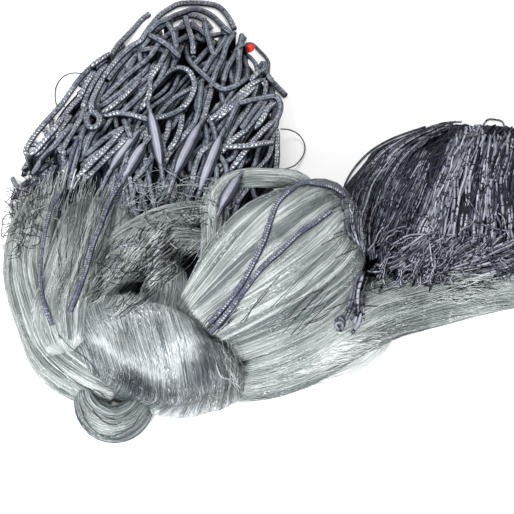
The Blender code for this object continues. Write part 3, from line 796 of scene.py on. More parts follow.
# %% Uneven ridges
def ripples(along, around, lanes, seed):
    """Uneven ridges along a bundle, from -1 to 1, that close round it."""
    dice = np.random.default_rng(seed)
    heights = dice.uniform(-1.0, 1.0, (6, lanes))
    row = along * 4.999
    column = (around % 1.0) * lanes
    low_row = np.floor(row).astype(int)
    low_column = np.floor(column).astype(int) % lanes
    row_share = row - np.floor(row)
    column_share = column - np.floor(column)
    row_share = row_share**2 * (3.0 - 2.0 * row_share)
    column_share = column_share**2 * (3.0 - 2.0 * column_share)
    near = heights[low_row, low_column] * (1 - column_share)
    near += heights[low_row, (low_column + 1) % lanes] * column_share
    far = heights[low_row + 1, low_column] * (1 - column_share)
    far += heights[low_row + 1, (low_column + 1) % lanes] * column_share
    return near * (1 - row_share) + far * row_share


print("ridges at three places:", ripples(np.full(3, 0.5), np.array([0.0, 0.3, 0.6]), 34, 1).round(2))

# %% [markdown]
# Each ring of a loft stands square to the path. Its radius swells and shrinks by the folds,
# which turn slowly as they go along, and nothing goes below the table.

# %% Work out the points of a loft
FLOOR = 0.15
COARSE_LANES, FINE_LANES = 34, 88


def loft_points(rows, folds, rings, sides, ridge_height, seed, shrink=0.0):
    """The points of a loft in millimetres, ring by ring, and how high each ridge is."""
    table = smooth([row[:5] for row in rows], rings)
    centres = table[:, :3]
    ahead = np.gradient(centres, axis=0)
    if rows[0].heading is not None:
        turn = np.radians(smooth([[row.heading] for row in rows], rings)[:, 0])
        ahead = np.column_stack([np.cos(turn), np.sin(turn), np.zeros(rings)])
    ahead /= np.linalg.norm(ahead, axis=1)[:, None]
    side = np.cross([0.0, 0.0, 1.0], ahead)
    side /= np.linalg.norm(side, axis=1)[:, None]
    rise = np.cross(ahead, side)
    along, around = np.meshgrid(np.linspace(0, 1, rings), np.arange(sides) / sides, indexing="ij")
    turned = math.tau * around + folds.swirl * along
    main = np.sin(folds.count * turned + folds.phase)
    cross = np.sin((folds.count // 2 + 1) * turned - 3.1 * along + 2.0 * folds.phase)
    swell = 1.0 + folds.depth * (0.65 * main + 0.35 * cross)
    drift = around + 0.02 * np.sin(5.0 * along + seed)
    ridge = 0.6 * ripples(along, drift, COARSE_LANES, seed)
    ridge += 0.4 * ripples(along, drift, FINE_LANES, seed + 50)
    wide = table[:, 3:4] * swell + ridge * ridge_height - shrink
    high = table[:, 4:5] * swell + ridge * ridge_height - shrink
    angle = math.tau * around
    points = centres[:, None, :] + side[:, None, :] * (np.cos(angle) * wide)[:, :, None]
    points = points + rise[:, None, :] * (np.sin(angle) * high)[:, :, None]
    points[:, :, 2] = np.maximum(points[:, :, 2], FLOOR)
    return points, ridge


print("a loft starts at", loft_points(*LOBES["ear"], 8, 12, 0.6, 1)[0][0, 0].round(1), "mm")

# %% [markdown]
# The rings are joined by four-sided faces and closed by a fan of triangles to a rounded tip
# at each end. Each corner also gets its place on the flow map, with one seam underneath.

# %% Join the rings of a loft
def loft_faces(rings, sides):
    """A loft's faces and, for each of their corners, how far along and how far round it is."""
    first, last = rings * sides, rings * sides + 1
    faces = []
    maps = []
    for ring in range(rings - 1):
        low, high = ring / (rings - 1), (ring + 1) / (rings - 1)
        for corner in range(sides):
            beside = (corner + 1) % sides
            here, there = ring * sides, (ring + 1) * sides
            faces.append((here + corner, here + beside, there + beside, there + corner))
            left, right = corner / sides, (corner + 1) / sides
            maps.extend([(low, left), (low, right), (high, right), (high, left)])
    for corner in range(sides):
        beside = (corner + 1) % sides
        left, right = corner / sides, (corner + 1) / sides
        faces.append((first, beside, corner))
        maps.extend([(-0.02, left), (0.0, right), (0.0, left)])
        top = (rings - 1) * sides
        faces.append((last, top + corner, top + beside))
        maps.extend([(1.02, left), (1.0, left), (1.0, right)])
    return faces, np.array(maps, np.float32)


print("a loft of 3 rings and 4 sides has", len(loft_faces(3, 4)[0]), "faces")

# %% [markdown]
# `flow` runs from 0 to 1 each way, which suits the threads. The streaks need true sizes, so
# `grain` is the same map in metres. Where the net is bound, its threads run around the
# bundle, and the two ways of the grain change places.

# %% Make a loft a closed mesh
TIP_SWELL = 0.35


def add_map(mesh, name, values):
    """Store a place for each corner of each face."""
    values = np.ascontiguousarray(values, np.float32)
    mesh.uv_layers.new(name=name).data.foreach_set("uv", values.ravel())


def loft_object(name, lobe, rings, sides, material, ridge_height, seed, shrink, around=False):
    """A closed bundle with its flow map, the grain of its threads and its ridges."""
    rows, folds = lobe
    points, ridge = loft_points(rows, folds, rings, sides, ridge_height, seed, shrink)
    tips = []
    for end, inner in ((0, 2), (-1, -3)):
        middle = points[end].mean(axis=0)
        tips.append(middle + (middle - points[inner].mean(axis=0)) * TIP_SWELL)
    vertices = np.concatenate([points.reshape(-1, 3), tips]) * MM
    faces, flow = loft_faces(rings, sides)
    mesh = bpy.data.meshes.new(name)
    mesh.from_pydata(vertices.tolist(), [], faces)
    girth = line_length(np.vstack([points[rings // 2], points[rings // 2][:1]])) * MM
    grain = flow * (line_length(points.mean(axis=1)) * MM, girth)
    add_map(mesh, "flow", flow)
    add_map(mesh, "grain", grain[:, ::-1] if around else grain)
    crest = np.concatenate([ridge.ravel() * 0.5 + 0.5, [0.5, 0.5]]).astype(np.float32)
    mesh.attributes.new("ridge", "FLOAT", "POINT").data.foreach_set("value", crest)
    mesh.polygons.foreach_set("use_smooth", [True] * len(mesh.polygons))
    mesh.materials.append(material)
    thing = bpy.data.objects.new(name, mesh)
    bpy.context.scene.collection.objects.link(thing)
    return thing


print("lofts can be made")

# %% [markdown]
# Each body is a little smaller than its solid, so that the threads over it end up at the
# solid's own skin. The bound part is the only one whose threads run around it.

# %% Make the bundles' bodies
Body = namedtuple("Body", "finish rings sides ridge_height")
BODIES = {
    "left_bundle": Body("pale", 44, 96, 0.6), "fan": Body("soft", 48, 120, 0.7),
    "upper_stream": Body("mid", 40, 72, 0.7), "lower_stream": Body("mid", 40, 72, 0.7),
    "inner_fold": Body("mid", 30, 84, 0.6), "wrap": Body("wrap", 48, 120, 0.25),
    "ear": Body("ear", 56, 132, 0.6), "arch": Body("pale", 60, 48, 0.5),
    "roll": Body("mid", 40, 60, 0.5), "tail": Body("pale", 72, 84, 0.8),
    "flap": Body("clear", 40, 48, 0.6),
}
BODY_SHRINK = 0.7
FIRST_SEED = 11
bodies = {}
for seed, (name, kind) in enumerate(BODIES.items(), FIRST_SEED):
    bodies[name] = loft_object("net_" + name, LOBES[name], kind.rings, kind.sides, BODY[kind.finish],
                               kind.ridge_height, seed, BODY_SHRINK, around=name == "wrap")
    settle(bodies[name], "netting", "netting")

# %% [markdown]
# ## The threads of the net
# Thousands of threads lie over each body. They are made where they lie: a tree scatters
# straight lines, then moves each of their points to a place on the body's flow map. A
# thread runs *along* a bundle, or *around* it where the net is bound. Threads are drawn
# together into locks of uneven width, each lock is rounded like a small rope, and whole
# locks drift, so some cross. All the numbers are inputs, and one seed fixes the dice.

# %% The recipe for threads on a body
ABOVE_FLOOR = (-1.0, -1.0, 0.0014)


def thread_recipe():
    """Threads over a body, read from its flow map."""
    tree = Recipe("threads_on_a_body")
    count = tree.ask("Threads", "Int")
    steps = tree.ask("Points", "Int")
    around = tree.ask("Around", "Bool")
    begin = (tree.ask("Begin Low"), tree.ask("Begin High"))
    end = (tree.ask("End Low"), tree.ask("End High"))
    start_side = (tree.ask("Start Side Low"), tree.ask("Start Side High"))
    end_side = (tree.ask("End Side Low"), tree.ask("End Side High"))
    names = ("Stray", "Locks", "Pull", "Bulge", "Lift", "Wander", "Waves", "Thickness")
    stray, locks, pull, bulge, lift, wander, waves, thickness = (tree.ask(name) for name in names)
    sides = tree.ask("Sides", "Int")
    bend = tree.ask("Bend")
    seed = tree.ask("Seed", "Int")
    material = tree.ask("Finish", "Material")

    line = tree.node("GeometryNodeCurvePrimitiveLine", {}, {"End": (1.0, 0.0, 0.0)})
    line = tree.node("GeometryNodeResampleCurve", {}, {"Curve": line, "Count": steps})
    spots = tree.node("GeometryNodePoints", {}, {"Count": count})
    spots = tree.node("GeometryNodeInstanceOnPoints", {}, {"Points": spots, "Instance": line})
    curves = tree.node("GeometryNodeRealizeInstances", {}, {"Geometry": spots})

    way = tree.node("GeometryNodeSplineParameter", {}, {}, "Factor")
    own = tree.node("GeometryNodeCurveOfPoint", {}, {}, "Curve Index")

    def dice(low, high, salt, who=own):
        sockets = {"Min": low, "Max": high, "ID": who, "Seed": seed + salt}
        return tree.node("FunctionNodeRandomValue", {"data_type": "FLOAT"}, sockets)

    def side_of(share):
        first = start_side[0] + (start_side[1] - start_side[0]) * share
        second = end_side[0] + (end_side[1] - end_side[0]) * share
        return first + (second - first) * way

    share = dice(0.0, 1.0, 1)
    uneven = share + (tree.noise(tree.join(share * 6.0, seed * 1.7, 0.0), 1.0, 1.0) - 0.5) * 0.16
    lane = (uneven * locks).whole()
    off_middle = uneven * locks - lane - 0.5
    gather = (tree.noise(tree.join(way * 2.3, lane * 3.7, seed * 1.31), 1.0, 1.0) * 1.6).clamped()
    drawn = share - off_middle / locks * gather * pull
    drift = tree.noise(tree.join(way * waves, lane * 5.1, seed * 0.7), 1.0, 1.0) - 0.5
    shake = tree.noise(tree.join(way * waves * 1.7, dice(0.0, 90.0, 3), 0.5), 1.0, 2.0) - 0.5
    side = side_of(drawn) + drift * wander * 1.5 + shake * wander + dice(-1.0, 1.0, 2) * stray * way
    side = side + bend * way * share * (1.0 - share) * 4.0
    crest = (1.0 - off_middle * off_middle * 4.0).clamped()
    hump = tree.noise(tree.join(way * 1.7, lane * 5.3, seed * 2.17), 1.0, 1.0)
    raised = dice(0.0, 1.0, 4) ** 2.0
    height = bulge * crest * (hump * 1.7) + lift * raised
    begins = dice(begin[0], begin[1], 5)
    run = begins + (dice(end[0], end[1], 6) - begins) * way

    switch = {"input_type": "FLOAT"}
    sockets = {"Switch": around, "False": run, "True": side.clamped()}
    along = tree.node("GeometryNodeSwitch", switch, sockets)
    across = tree.node("GeometryNodeSwitch", switch, {"Switch": around, "False": side, "True": run})
    spot = tree.join(along, across.fraction(), 0.0)
    flow = named(tree, "flow", "FLOAT_VECTOR")

    def read(value):
        sockets = {"Mesh": tree.shape, "UV Map": flow, "Sample UV": spot, "Value": value}
        return tree.node("GeometryNodeSampleUVSurface", {"data_type": "FLOAT_VECTOR"}, sockets)

    base = read(tree.node("GeometryNodeInputPosition"))
    out = read(tree.node("GeometryNodeInputNormal", {}, {}, "Normal"))
    place = tree.vector("MULTIPLY_ADD", out, tree.join(height, height, height), base)
    place = tree.vector("MAXIMUM", place, ABOVE_FLOOR)
    curves = tree.node("GeometryNodeSetPosition", {}, {"Geometry": curves, "Position": place})
    curves = keep(tree, curves, "tone", dice(0.0, 0.45, 7) + dice(0.0, 0.55, 9, lane))
    # `crest` is 1 in the middle of a lock and 0 at its edges; the nylon finish paints the edges darker as
    # shade.
    curves = keep(tree, curves, "crest", crest)
    curves = keep(tree, curves, "flow", spot, "FLOAT_VECTOR")
    # Threads that lie low get `buried`, which the cord finish paints as shade.
    curves = keep(tree, curves, "buried", (1.0 - raised) ** 1.3 * 0.9)
    girth = thickness * dice(0.75, 1.25, 8)
    tree.answer(add_tubes(tree, curves, girth, sides, material))
    return tree.tree


THREAD_RECIPE = thread_recipe()
print("thread recipe has", len(THREAD_RECIPE.nodes), "nodes")

# %% [markdown]
# One row says how the threads of one bundle lie. `begin` and `end` are ranges along the
# bundle, and the two `sides` ranges are how far round it they start and end. `locks` is how
# many locks there are, `pull` how tightly each is drawn together and `bulge` how far it
# stands out. `lift` lets single threads rise, in millimetres, and `wander` lets them stray.

# %% How the threads lie on each bundle
Threads = namedtuple(
    "Threads",
    "body finish count points thickness begin end sides_start sides_end"
    " stray locks pull bulge lift wander waves seed around bend", defaults=(False, 0.0),
)
OVER_TOP = (-0.07, 0.57)
THREADS = {
    "left_threads": Threads(
        "left_bundle", NYLON["pale"], 620, 16, 0.34, (0.0, 0.15), (0.85, 1.0), OVER_TOP, OVER_TOP, 0.01,
        locks=34, pull=0.5, bulge=0.5, lift=1.2, wander=0.03, waves=3.0, seed=3),
    "fan_threads": Threads(
        "fan", NYLON["soft"], 860, 14, 0.34, (0.0, 0.25), (0.8, 1.0), OVER_TOP, OVER_TOP, 0.01,
        locks=46, pull=0.5, bulge=0.5, lift=1.0, wander=0.02, waves=3.0, seed=4),
    "upper_threads": Threads(
        "upper_stream", NYLON["soft"], 280, 13, 0.34, (0.0, 0.25), (0.8, 1.0), OVER_TOP, OVER_TOP, 0.02,
        locks=15, pull=0.7, bulge=1.0, lift=1.8, wander=0.05, waves=3.0, seed=5),
    "lower_threads": Threads(
        "lower_stream", NYLON["soft"], 280, 13, 0.34, (0.0, 0.25), (0.8, 1.0), OVER_TOP, OVER_TOP, 0.02,
        locks=15, pull=0.7, bulge=1.0, lift=1.8, wander=0.05, waves=3.0, seed=6),
    "inner_threads": Threads(
        "inner_fold", NYLON["mid"], 240, 11, 0.34, (0.0, 0.2), (0.8, 1.0), OVER_TOP, OVER_TOP, 0.02,
        locks=18, pull=0.5, bulge=0.6, lift=1.8, wander=0.04, waves=3.0, seed=13),
    "wrap_threads": Threads(
        "wrap", NYLON["wrap"], 860, 17, 0.3, (-0.10, 0.02), (0.50, 0.62), (0.01, 0.99), (0.01, 0.99), 0.006,
        locks=52, pull=0.3, bulge=0.2, lift=0.6, wander=0.012, waves=2.0, seed=7, around=True, bend=-0.42),
    "ear_threads": Threads(
        "ear", NYLON["ear"], 960, 15, 0.36, (0.0, 0.12), (0.9, 1.0), OVER_TOP, OVER_TOP, 0.006,
        locks=56, pull=0.4, bulge=0.4, lift=1.0, wander=0.012, waves=2.5, seed=8),
    "arch_threads": Threads(
        "arch", NYLON["pale"], 240, 24, 0.34, (0.0, 0.1), (0.9, 1.0), (0.0, 1.0), (0.0, 1.0), 0.05,
        locks=20, pull=0.6, bulge=0.8, lift=1.2, wander=0.07, waves=4.0, seed=9),
    "roll_threads": Threads(
        "roll", NYLON["mid"], 260, 18, 0.34, (0.0, 0.1), (0.9, 1.0), (-0.1, 0.6), (-0.1, 0.6), 0.02,
        locks=15, pull=0.4, bulge=0.4, lift=0.8, wander=0.04, waves=3.0, seed=10),
    "tail_threads": Threads(
        "tail", NYLON["pale"], 720, 18, 0.36, (0.0, 0.2), (0.75, 1.0), OVER_TOP, OVER_TOP, 0.04,
        locks=28, pull=0.5, bulge=0.7, lift=2.0, wander=0.05, waves=4.0, seed=11),
    "flap_threads": Threads(
        "flap", NYLON["clear"], 180, 12, 0.34, (0.0, 0.2), (0.8, 1.0), (-0.05, 0.55), (-0.05, 0.55), 0.03,
        locks=12, pull=0.6, bulge=0.6, lift=0.8, wander=0.05, waves=3.0, seed=12),
}
print(sum(kind.count for kind in THREADS.values()), "threads on", len(THREADS), "bundles")

# %% [markdown]
# The recipe works in metres, and its inputs have names of their own, so a small function
# turns a row into inputs. The threads are then laid on a copy of the body's mesh.

# %% Lay the threads
def thread_values(kind, sides):
    """The recipe's inputs for one set of threads, with its lengths in metres."""
    values = {
        "Threads": kind.count, "Points": kind.points, "Around": kind.around, "Sides": sides,
        "Stray": kind.stray, "Locks": float(kind.locks), "Pull": kind.pull,
        "Bulge": kind.bulge * MM, "Lift": kind.lift * MM, "Wander": kind.wander,
        "Waves": kind.waves, "Thickness": kind.thickness * MM, "Seed": kind.seed,
        "Bend": kind.bend, "Finish": kind.finish,
    }
    ranges = {"Begin": kind.begin, "End": kind.end, "Start Side": kind.sides_start,
              "End Side": kind.sides_end}
    for name, (low, high) in ranges.items():
        values[name + " Low"] = low
        values[name + " High"] = high
    return values


def lay_threads(name, body, kind, sides=3):
    """Threads over a body as a mesh of their own."""
    piece = bpy.data.objects.new(name, body.data.copy())
    return apply_recipe(piece, THREAD_RECIPE, thread_values(kind, sides))


for name, kind in THREADS.items():
    settle(lay_threads(name, bodies[kind.body], kind), "netting", "netting")

# %% [markdown]
# ## The float line's hank
# The float line is metres of braided rope thrown down in bights, one over another. To lay
# it believably the lesson keeps a height map of the heap: each new run of rope rests on
# the highest thing under it, bridges small dips as a stiff rope does, and then adds
# itself to the map. Rays cast straight down fill the map's first heights.

# %% Read heights off a surface
CELL = 1.5
MAP_LOW = np.array([-118.0, -54.0])
MAP_SIZE = (300, 285)
ABOVE_ALL = 0.5


def surface_heights(things):
    """The highest surface over each cell in millimetres, zero where there is none."""
    points = []
    faces = []
    for thing in things:
        start = len(points)
        points.extend(vertex.co for vertex in thing.data.vertices)
        faces.extend([start + index for index in face.vertices] for face in thing.data.polygons)
    tree = BVHTree.FromPolygons(points, faces)
    heights = np.zeros(MAP_SIZE)
    down = Vector((0.0, 0.0, -1.0))
    for column in range(MAP_SIZE[0]):
        for row in range(MAP_SIZE[1]):
            x, y = MAP_LOW + np.array([column, row]) * CELL
            hit = tree.ray_cast(Vector((x * MM, y * MM, ABOVE_ALL)), down)[0]
            if hit is not None:
                heights[column, row] = hit.z / MM
    return heights


print("the height map has", MAP_SIZE[0] * MAP_SIZE[1], "cells")

# %% [markdown]
# The map answers three questions: at what height a rope of some thickness rests at a place,
# how soon it must slope down to pass under the net that lies over it, and how deep it is
# buried among its neighbours. The last of them becomes the finish's `buried`, which darkens
# the rope as painted shade.

# %% The heap's height map
SLOPE = 0.8
LID_GAP = 2.0
BASE_GAP = 0.5
NO_LID = 1000.0
SHADE_START = 1.5
SHADE_DEPTH = 7.0


def smoothed(values, reach):
    """Values along a line that bridge dips, as a stiff rope does."""
    spans = [slice(max(place - reach, 0), place + reach + 1) for place in range(len(values))]
    bridged = np.array([values[span].max() for span in spans])
    return np.array([bridged[span].mean() for span in spans])


class HeightMap:
    """The highest thing at each place, and the tops of the net that covers the heap."""

    def __init__(self, heights, lids):
        self.heights = heights
        self.base = heights.copy()
        self.lids = lids

    def cells(self, x, y, reach):
        """The map's cells round a point, with their distance from it."""
        column, row = np.rint((np.array([x, y]) - MAP_LOW) / CELL).astype(int)
        wide = int(math.ceil(reach / CELL))
        columns, rows = np.meshgrid(np.arange(column - wide, column + wide + 1),
                                    np.arange(row - wide, row + wide + 1), indexing="ij")
        columns = np.clip(columns, 0, MAP_SIZE[0] - 1)
        rows = np.clip(rows, 0, MAP_SIZE[1] - 1)
        gap = np.hypot(MAP_LOW[0] + columns * CELL - x, MAP_LOW[1] + rows * CELL - y)
        near = gap < max(reach, 0.75 * CELL)
        return columns[near], rows[near], gap[near]

    def rest(self, x, y, radius):
        """The height at which a rope's middle rests, at a place."""
        columns, rows, gap = self.cells(x, y, radius)
        tops = self.heights[columns, rows] + np.sqrt(np.maximum(radius**2 - gap**2, 0.0))
        return max(tops.max(initial=0.0), radius)

    def capped(self, points, radius, spacing):
        """Let a run slope down in time to pass under the net that covers it."""
        caps = []
        for x, y in points[:, :2]:
            columns, rows, _ = self.cells(x, y, radius)
            lid = self.lids[columns, rows].max(initial=0.0)
            least = self.base[columns, rows].max(initial=0.0) + BASE_GAP
            caps.append(max(lid - radius - LID_GAP, least) if lid > 0.0 else NO_LID)
        places = np.arange(len(caps))
        away = np.abs(places[:, None] - places) * spacing
        highest = (np.array(caps) + SLOPE * away).min(axis=1)
        return np.maximum(np.minimum(points[:, 2], highest), radius)

    def add(self, points, radius):
        """Add a run to the map."""
        for point in points:
            columns, rows, gap = self.cells(point[0], point[1], radius)
            tops = point[2] + np.sqrt(np.maximum(radius**2 - gap**2, 0.0))
            self.heights[columns, rows] = np.maximum(self.heights[columns, rows], tops)
        return points

    def depth(self, line, most=0.9, reach=6.0):
        """How deep each point of a line lies among what is round it, from 0 to 1."""
        deep = []
        for x, y, z in line.points:
            columns, rows, _ = self.cells(x, y, reach)
            over = self.heights[columns, rows].mean() - z - line.girth * 0.35
            deep.append((over - SHADE_START) / SHADE_DEPTH)
        return line._replace(buried=np.clip(smoothed(np.array(deep), 1), 0.0, most))


print("height maps can be kept")

# %% [markdown]
# A run is laid in one of two ways. `lay` takes its plan and drops it straight down.
# `lay_in_sight` takes where each point is seen against the table and slides it up the line
# of sight until it rests on the heap, so it keeps its place in the view however high the
# heap has grown. There a stiff rope turns down at the heap's far edge, and where the line of
# sight leaves the crest for the floor behind, the run is led down the slope. Thin lines
# don't add themselves to the map, or hundreds of them would pile up into a cloud.

# %% Lay runs on the heap
EYE = np.array(camera.location) / MM
SIGHT_TOP = 104.0
SIGHT_STEPS = (5.0, 1.0)
JUMP = 12.0
HEAPING = 1.7
STIFF = 1.4
EDGE = 9.0
DIVE_REACH = 9.0
EDGE_TURN = np.array([(0.0, 2.5, -1.5), (0.0, 4.5, -5.0), (0.0, 5.5, -10.0), (0.0, 6.0, -15.0)])


class Heap(HeightMap):
    """A height map that ropes are laid on."""

    def lay(self, flat, girth, sink, bridge=3, spacing=4.0):
        """Rest a run of rope, given by its plan, on the heap."""
        points = evenly(flat, spacing)
        level = np.array([self.rest(x, y, girth / 2.0) for x, y in points[:, :2]]) - sink
        points[:, 2] = np.maximum(smoothed(level, bridge), girth / 2.0)
        points[:, 2] = self.capped(points, girth / 2.0, spacing)
        return self.add(points, girth / 2.0)

    def touch(self, target, radius):
        """The height at which a rope, slid down a line of sight, meets the heap."""
        height = SIGHT_TOP
        for step in SIGHT_STEPS:
            while height > radius:
                x, y = (target + (EYE - target) * height / EYE[2])[:2]
                if self.rest(x, y, radius) >= height:
                    break
                height -= step
            height += step
        return min(max(height, radius), SIGHT_TOP)

    def over_edge(self, points, radius):
        """Turn a run's ends down where they stand at the heap's far edge."""
        for end in (0, -1):
            x, y, z = points[end]
            if z - self.rest(x, y + EDGE, radius) > EDGE:
                beyond = np.array([x, y, z]) + EDGE_TURN[EDGE_TURN[:, 2] > radius - z]
                points = np.vstack([points, beyond] if end else [beyond[::-1], points])
        return points

    def down_behind(self, points, radius, spacing):
        """Lead a run down the heap's far slope where it leaves the crest for the floor."""
        whole = [points[:1]]
        for start, end in zip(points[:-1], points[1:]):
            if abs(start[2] - end[2]) > JUMP:
                count = round(float(np.hypot(*(end - start)[:2])) / spacing) + 2
                between = start + (end - start) * np.linspace(0.0, 1.0, count)[1:-1, None]
                slope = [self.rest(x, y, radius) for x, y in between[:, :2]]
                between[:, 2] = np.minimum(between[:, 2], slope)
                whole.append(between)
            whole.append(end[None])
        return np.concatenate(whole)

    def lay_in_sight(self, seen, girth, sink=1.0, bridge=3, spacing=2.4, dive=5.0):
        """Slide a run along the camera's lines of sight until it rests on the heap."""
        radius = girth / 2.0
        floor = evenly([(x, y, 0.0) for x, y in seen], spacing)
        level = np.array([self.touch(target, radius) for target in floor]) - sink
        parts = np.split(level, np.flatnonzero(np.abs(np.diff(level)) > JUMP) + 1)
        level = np.maximum(np.concatenate([smoothed(part, bridge) for part in parts]), radius)
        reach = np.minimum(np.arange(len(level)), np.arange(len(level))[::-1]) * spacing
        level = np.maximum(level - dive * (1.0 - np.minimum(reach / DIVE_REACH, 1.0)) ** 2, radius)
        points = floor + (EYE - floor) * (level / EYE[2])[:, None]
        level = self.capped(points, radius, spacing)
        points = floor + (EYE - floor) * (level / EYE[2])[:, None]
        if girth > STIFF:
            points = self.down_behind(self.over_edge(points, radius), radius, spacing)
        return self.add(points, radius) if girth > HEAPING else points


print("the eye is", round(float(EYE[2])), "mm over the table")

# %% [markdown]
# Under the ropes lies a mound in painted shade, nearly black, which is what shows between
# the runs. The parts of the net that lie over the hank are read too, since the ropes must
# pass below them.

# %% The mound under the ropes
MOUND_SHRINK = 9.0
mound = loft_object("float_line_mound", FLOAT_HANK, 48, 96, ROPE_MOUND, 2.2, 31, MOUND_SHRINK)
settle(mound, "float_line", "float_line")
COVERING = ["left_bundle", "fan", "upper_stream", "lower_stream", "inner_fold", "wrap", "ear", "arch"]
covers = surface_heights([bodies[name] for name in COVERING])
heap = Heap(surface_heights([mound]), covers)
solid_heights = surface_heights([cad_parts["float_line"]])
print("the mound is", round(float(heap.heights.max()), 1), "mm high")

# %% [markdown]
# Most of the rope is laid by a rule: runs that lean to the right as they go up the hank,
# each turning back in a bight at the far edge. One run in five leans the other way. The
# first ones sink deeper, because more rope will lie on them.

# %% Lay the hidden runs
ROPE = 4.4
BIGHTS = 78
DEEP_BIGHTS = 50
HANK_FOOT = 58.0
HANK_REACH = 268.0
HANK_SHARE = 0.94
WIDEST = 0.97
HANK_ROWS = np.array([[row.y, row.x, row.half_width] for row in FLOAT_HANK[0]], float)


def hank_place(up, across):
    """A point of the hank from how far up it is and how far across, from -1 to 1."""
    y = HANK_FOOT + HANK_REACH * up
    middle = np.interp(y, HANK_ROWS[:, 0], HANK_ROWS[:, 1])
    wide = np.interp(y, HANK_ROWS[:, 0], HANK_ROWS[:, 2])
    return middle + across * wide * HANK_SHARE, y, 0.0


def bight(dice, start, lean, gap):
    """A run up the hank, its turn, and its way back down beside it."""
    ups = np.linspace(dice.uniform(0.05, 0.45), dice.uniform(0.6, 0.97), 8)
    there = []
    back = []
    for up in ups:
        across = start + lean * up + dice.normal(0.0, 0.03)
        if abs(across) < WIDEST:
            there.append(hank_place(up, across))
            back.append(hank_place(up, min(across + gap * (1.15 - up), 0.99)))
    return there + back[::-1]


dice = np.random.default_rng(77)
hidden_lines = []
for index in range(BIGHTS):
    lean = dice.uniform(1.0, 1.7) if index % 5 else dice.uniform(-0.8, 0.4)
    start = dice.uniform(-1.9, 0.5) if index % 5 else dice.uniform(-0.95, 0.9)
    run = bight(dice, start, lean, dice.uniform(0.10, 0.28))
    if len(run) > 5:
        girth = ROPE * dice.uniform(0.78, 1.0)
        sink = 2.4 if index < DEEP_BIGHTS else 1.4
        hidden_lines.append(Line(heap.lay(run, girth, sink), girth, dice.uniform(0.1, 0.9)))
above = (heap.heights - solid_heights)[(solid_heights > 20.0) & (covers == 0.0)]
print(len(hidden_lines), "hidden runs,", np.percentile(above, [5, 50, 95]).round(1), "mm over the solid")

# %% [markdown]
# The runs on top are listed one by one, since they are the ones that give this hank its face.
# Each point is where the line of sight through the rope meets the table, in millimetres.
# The word before a run says how much white yarn it shows.

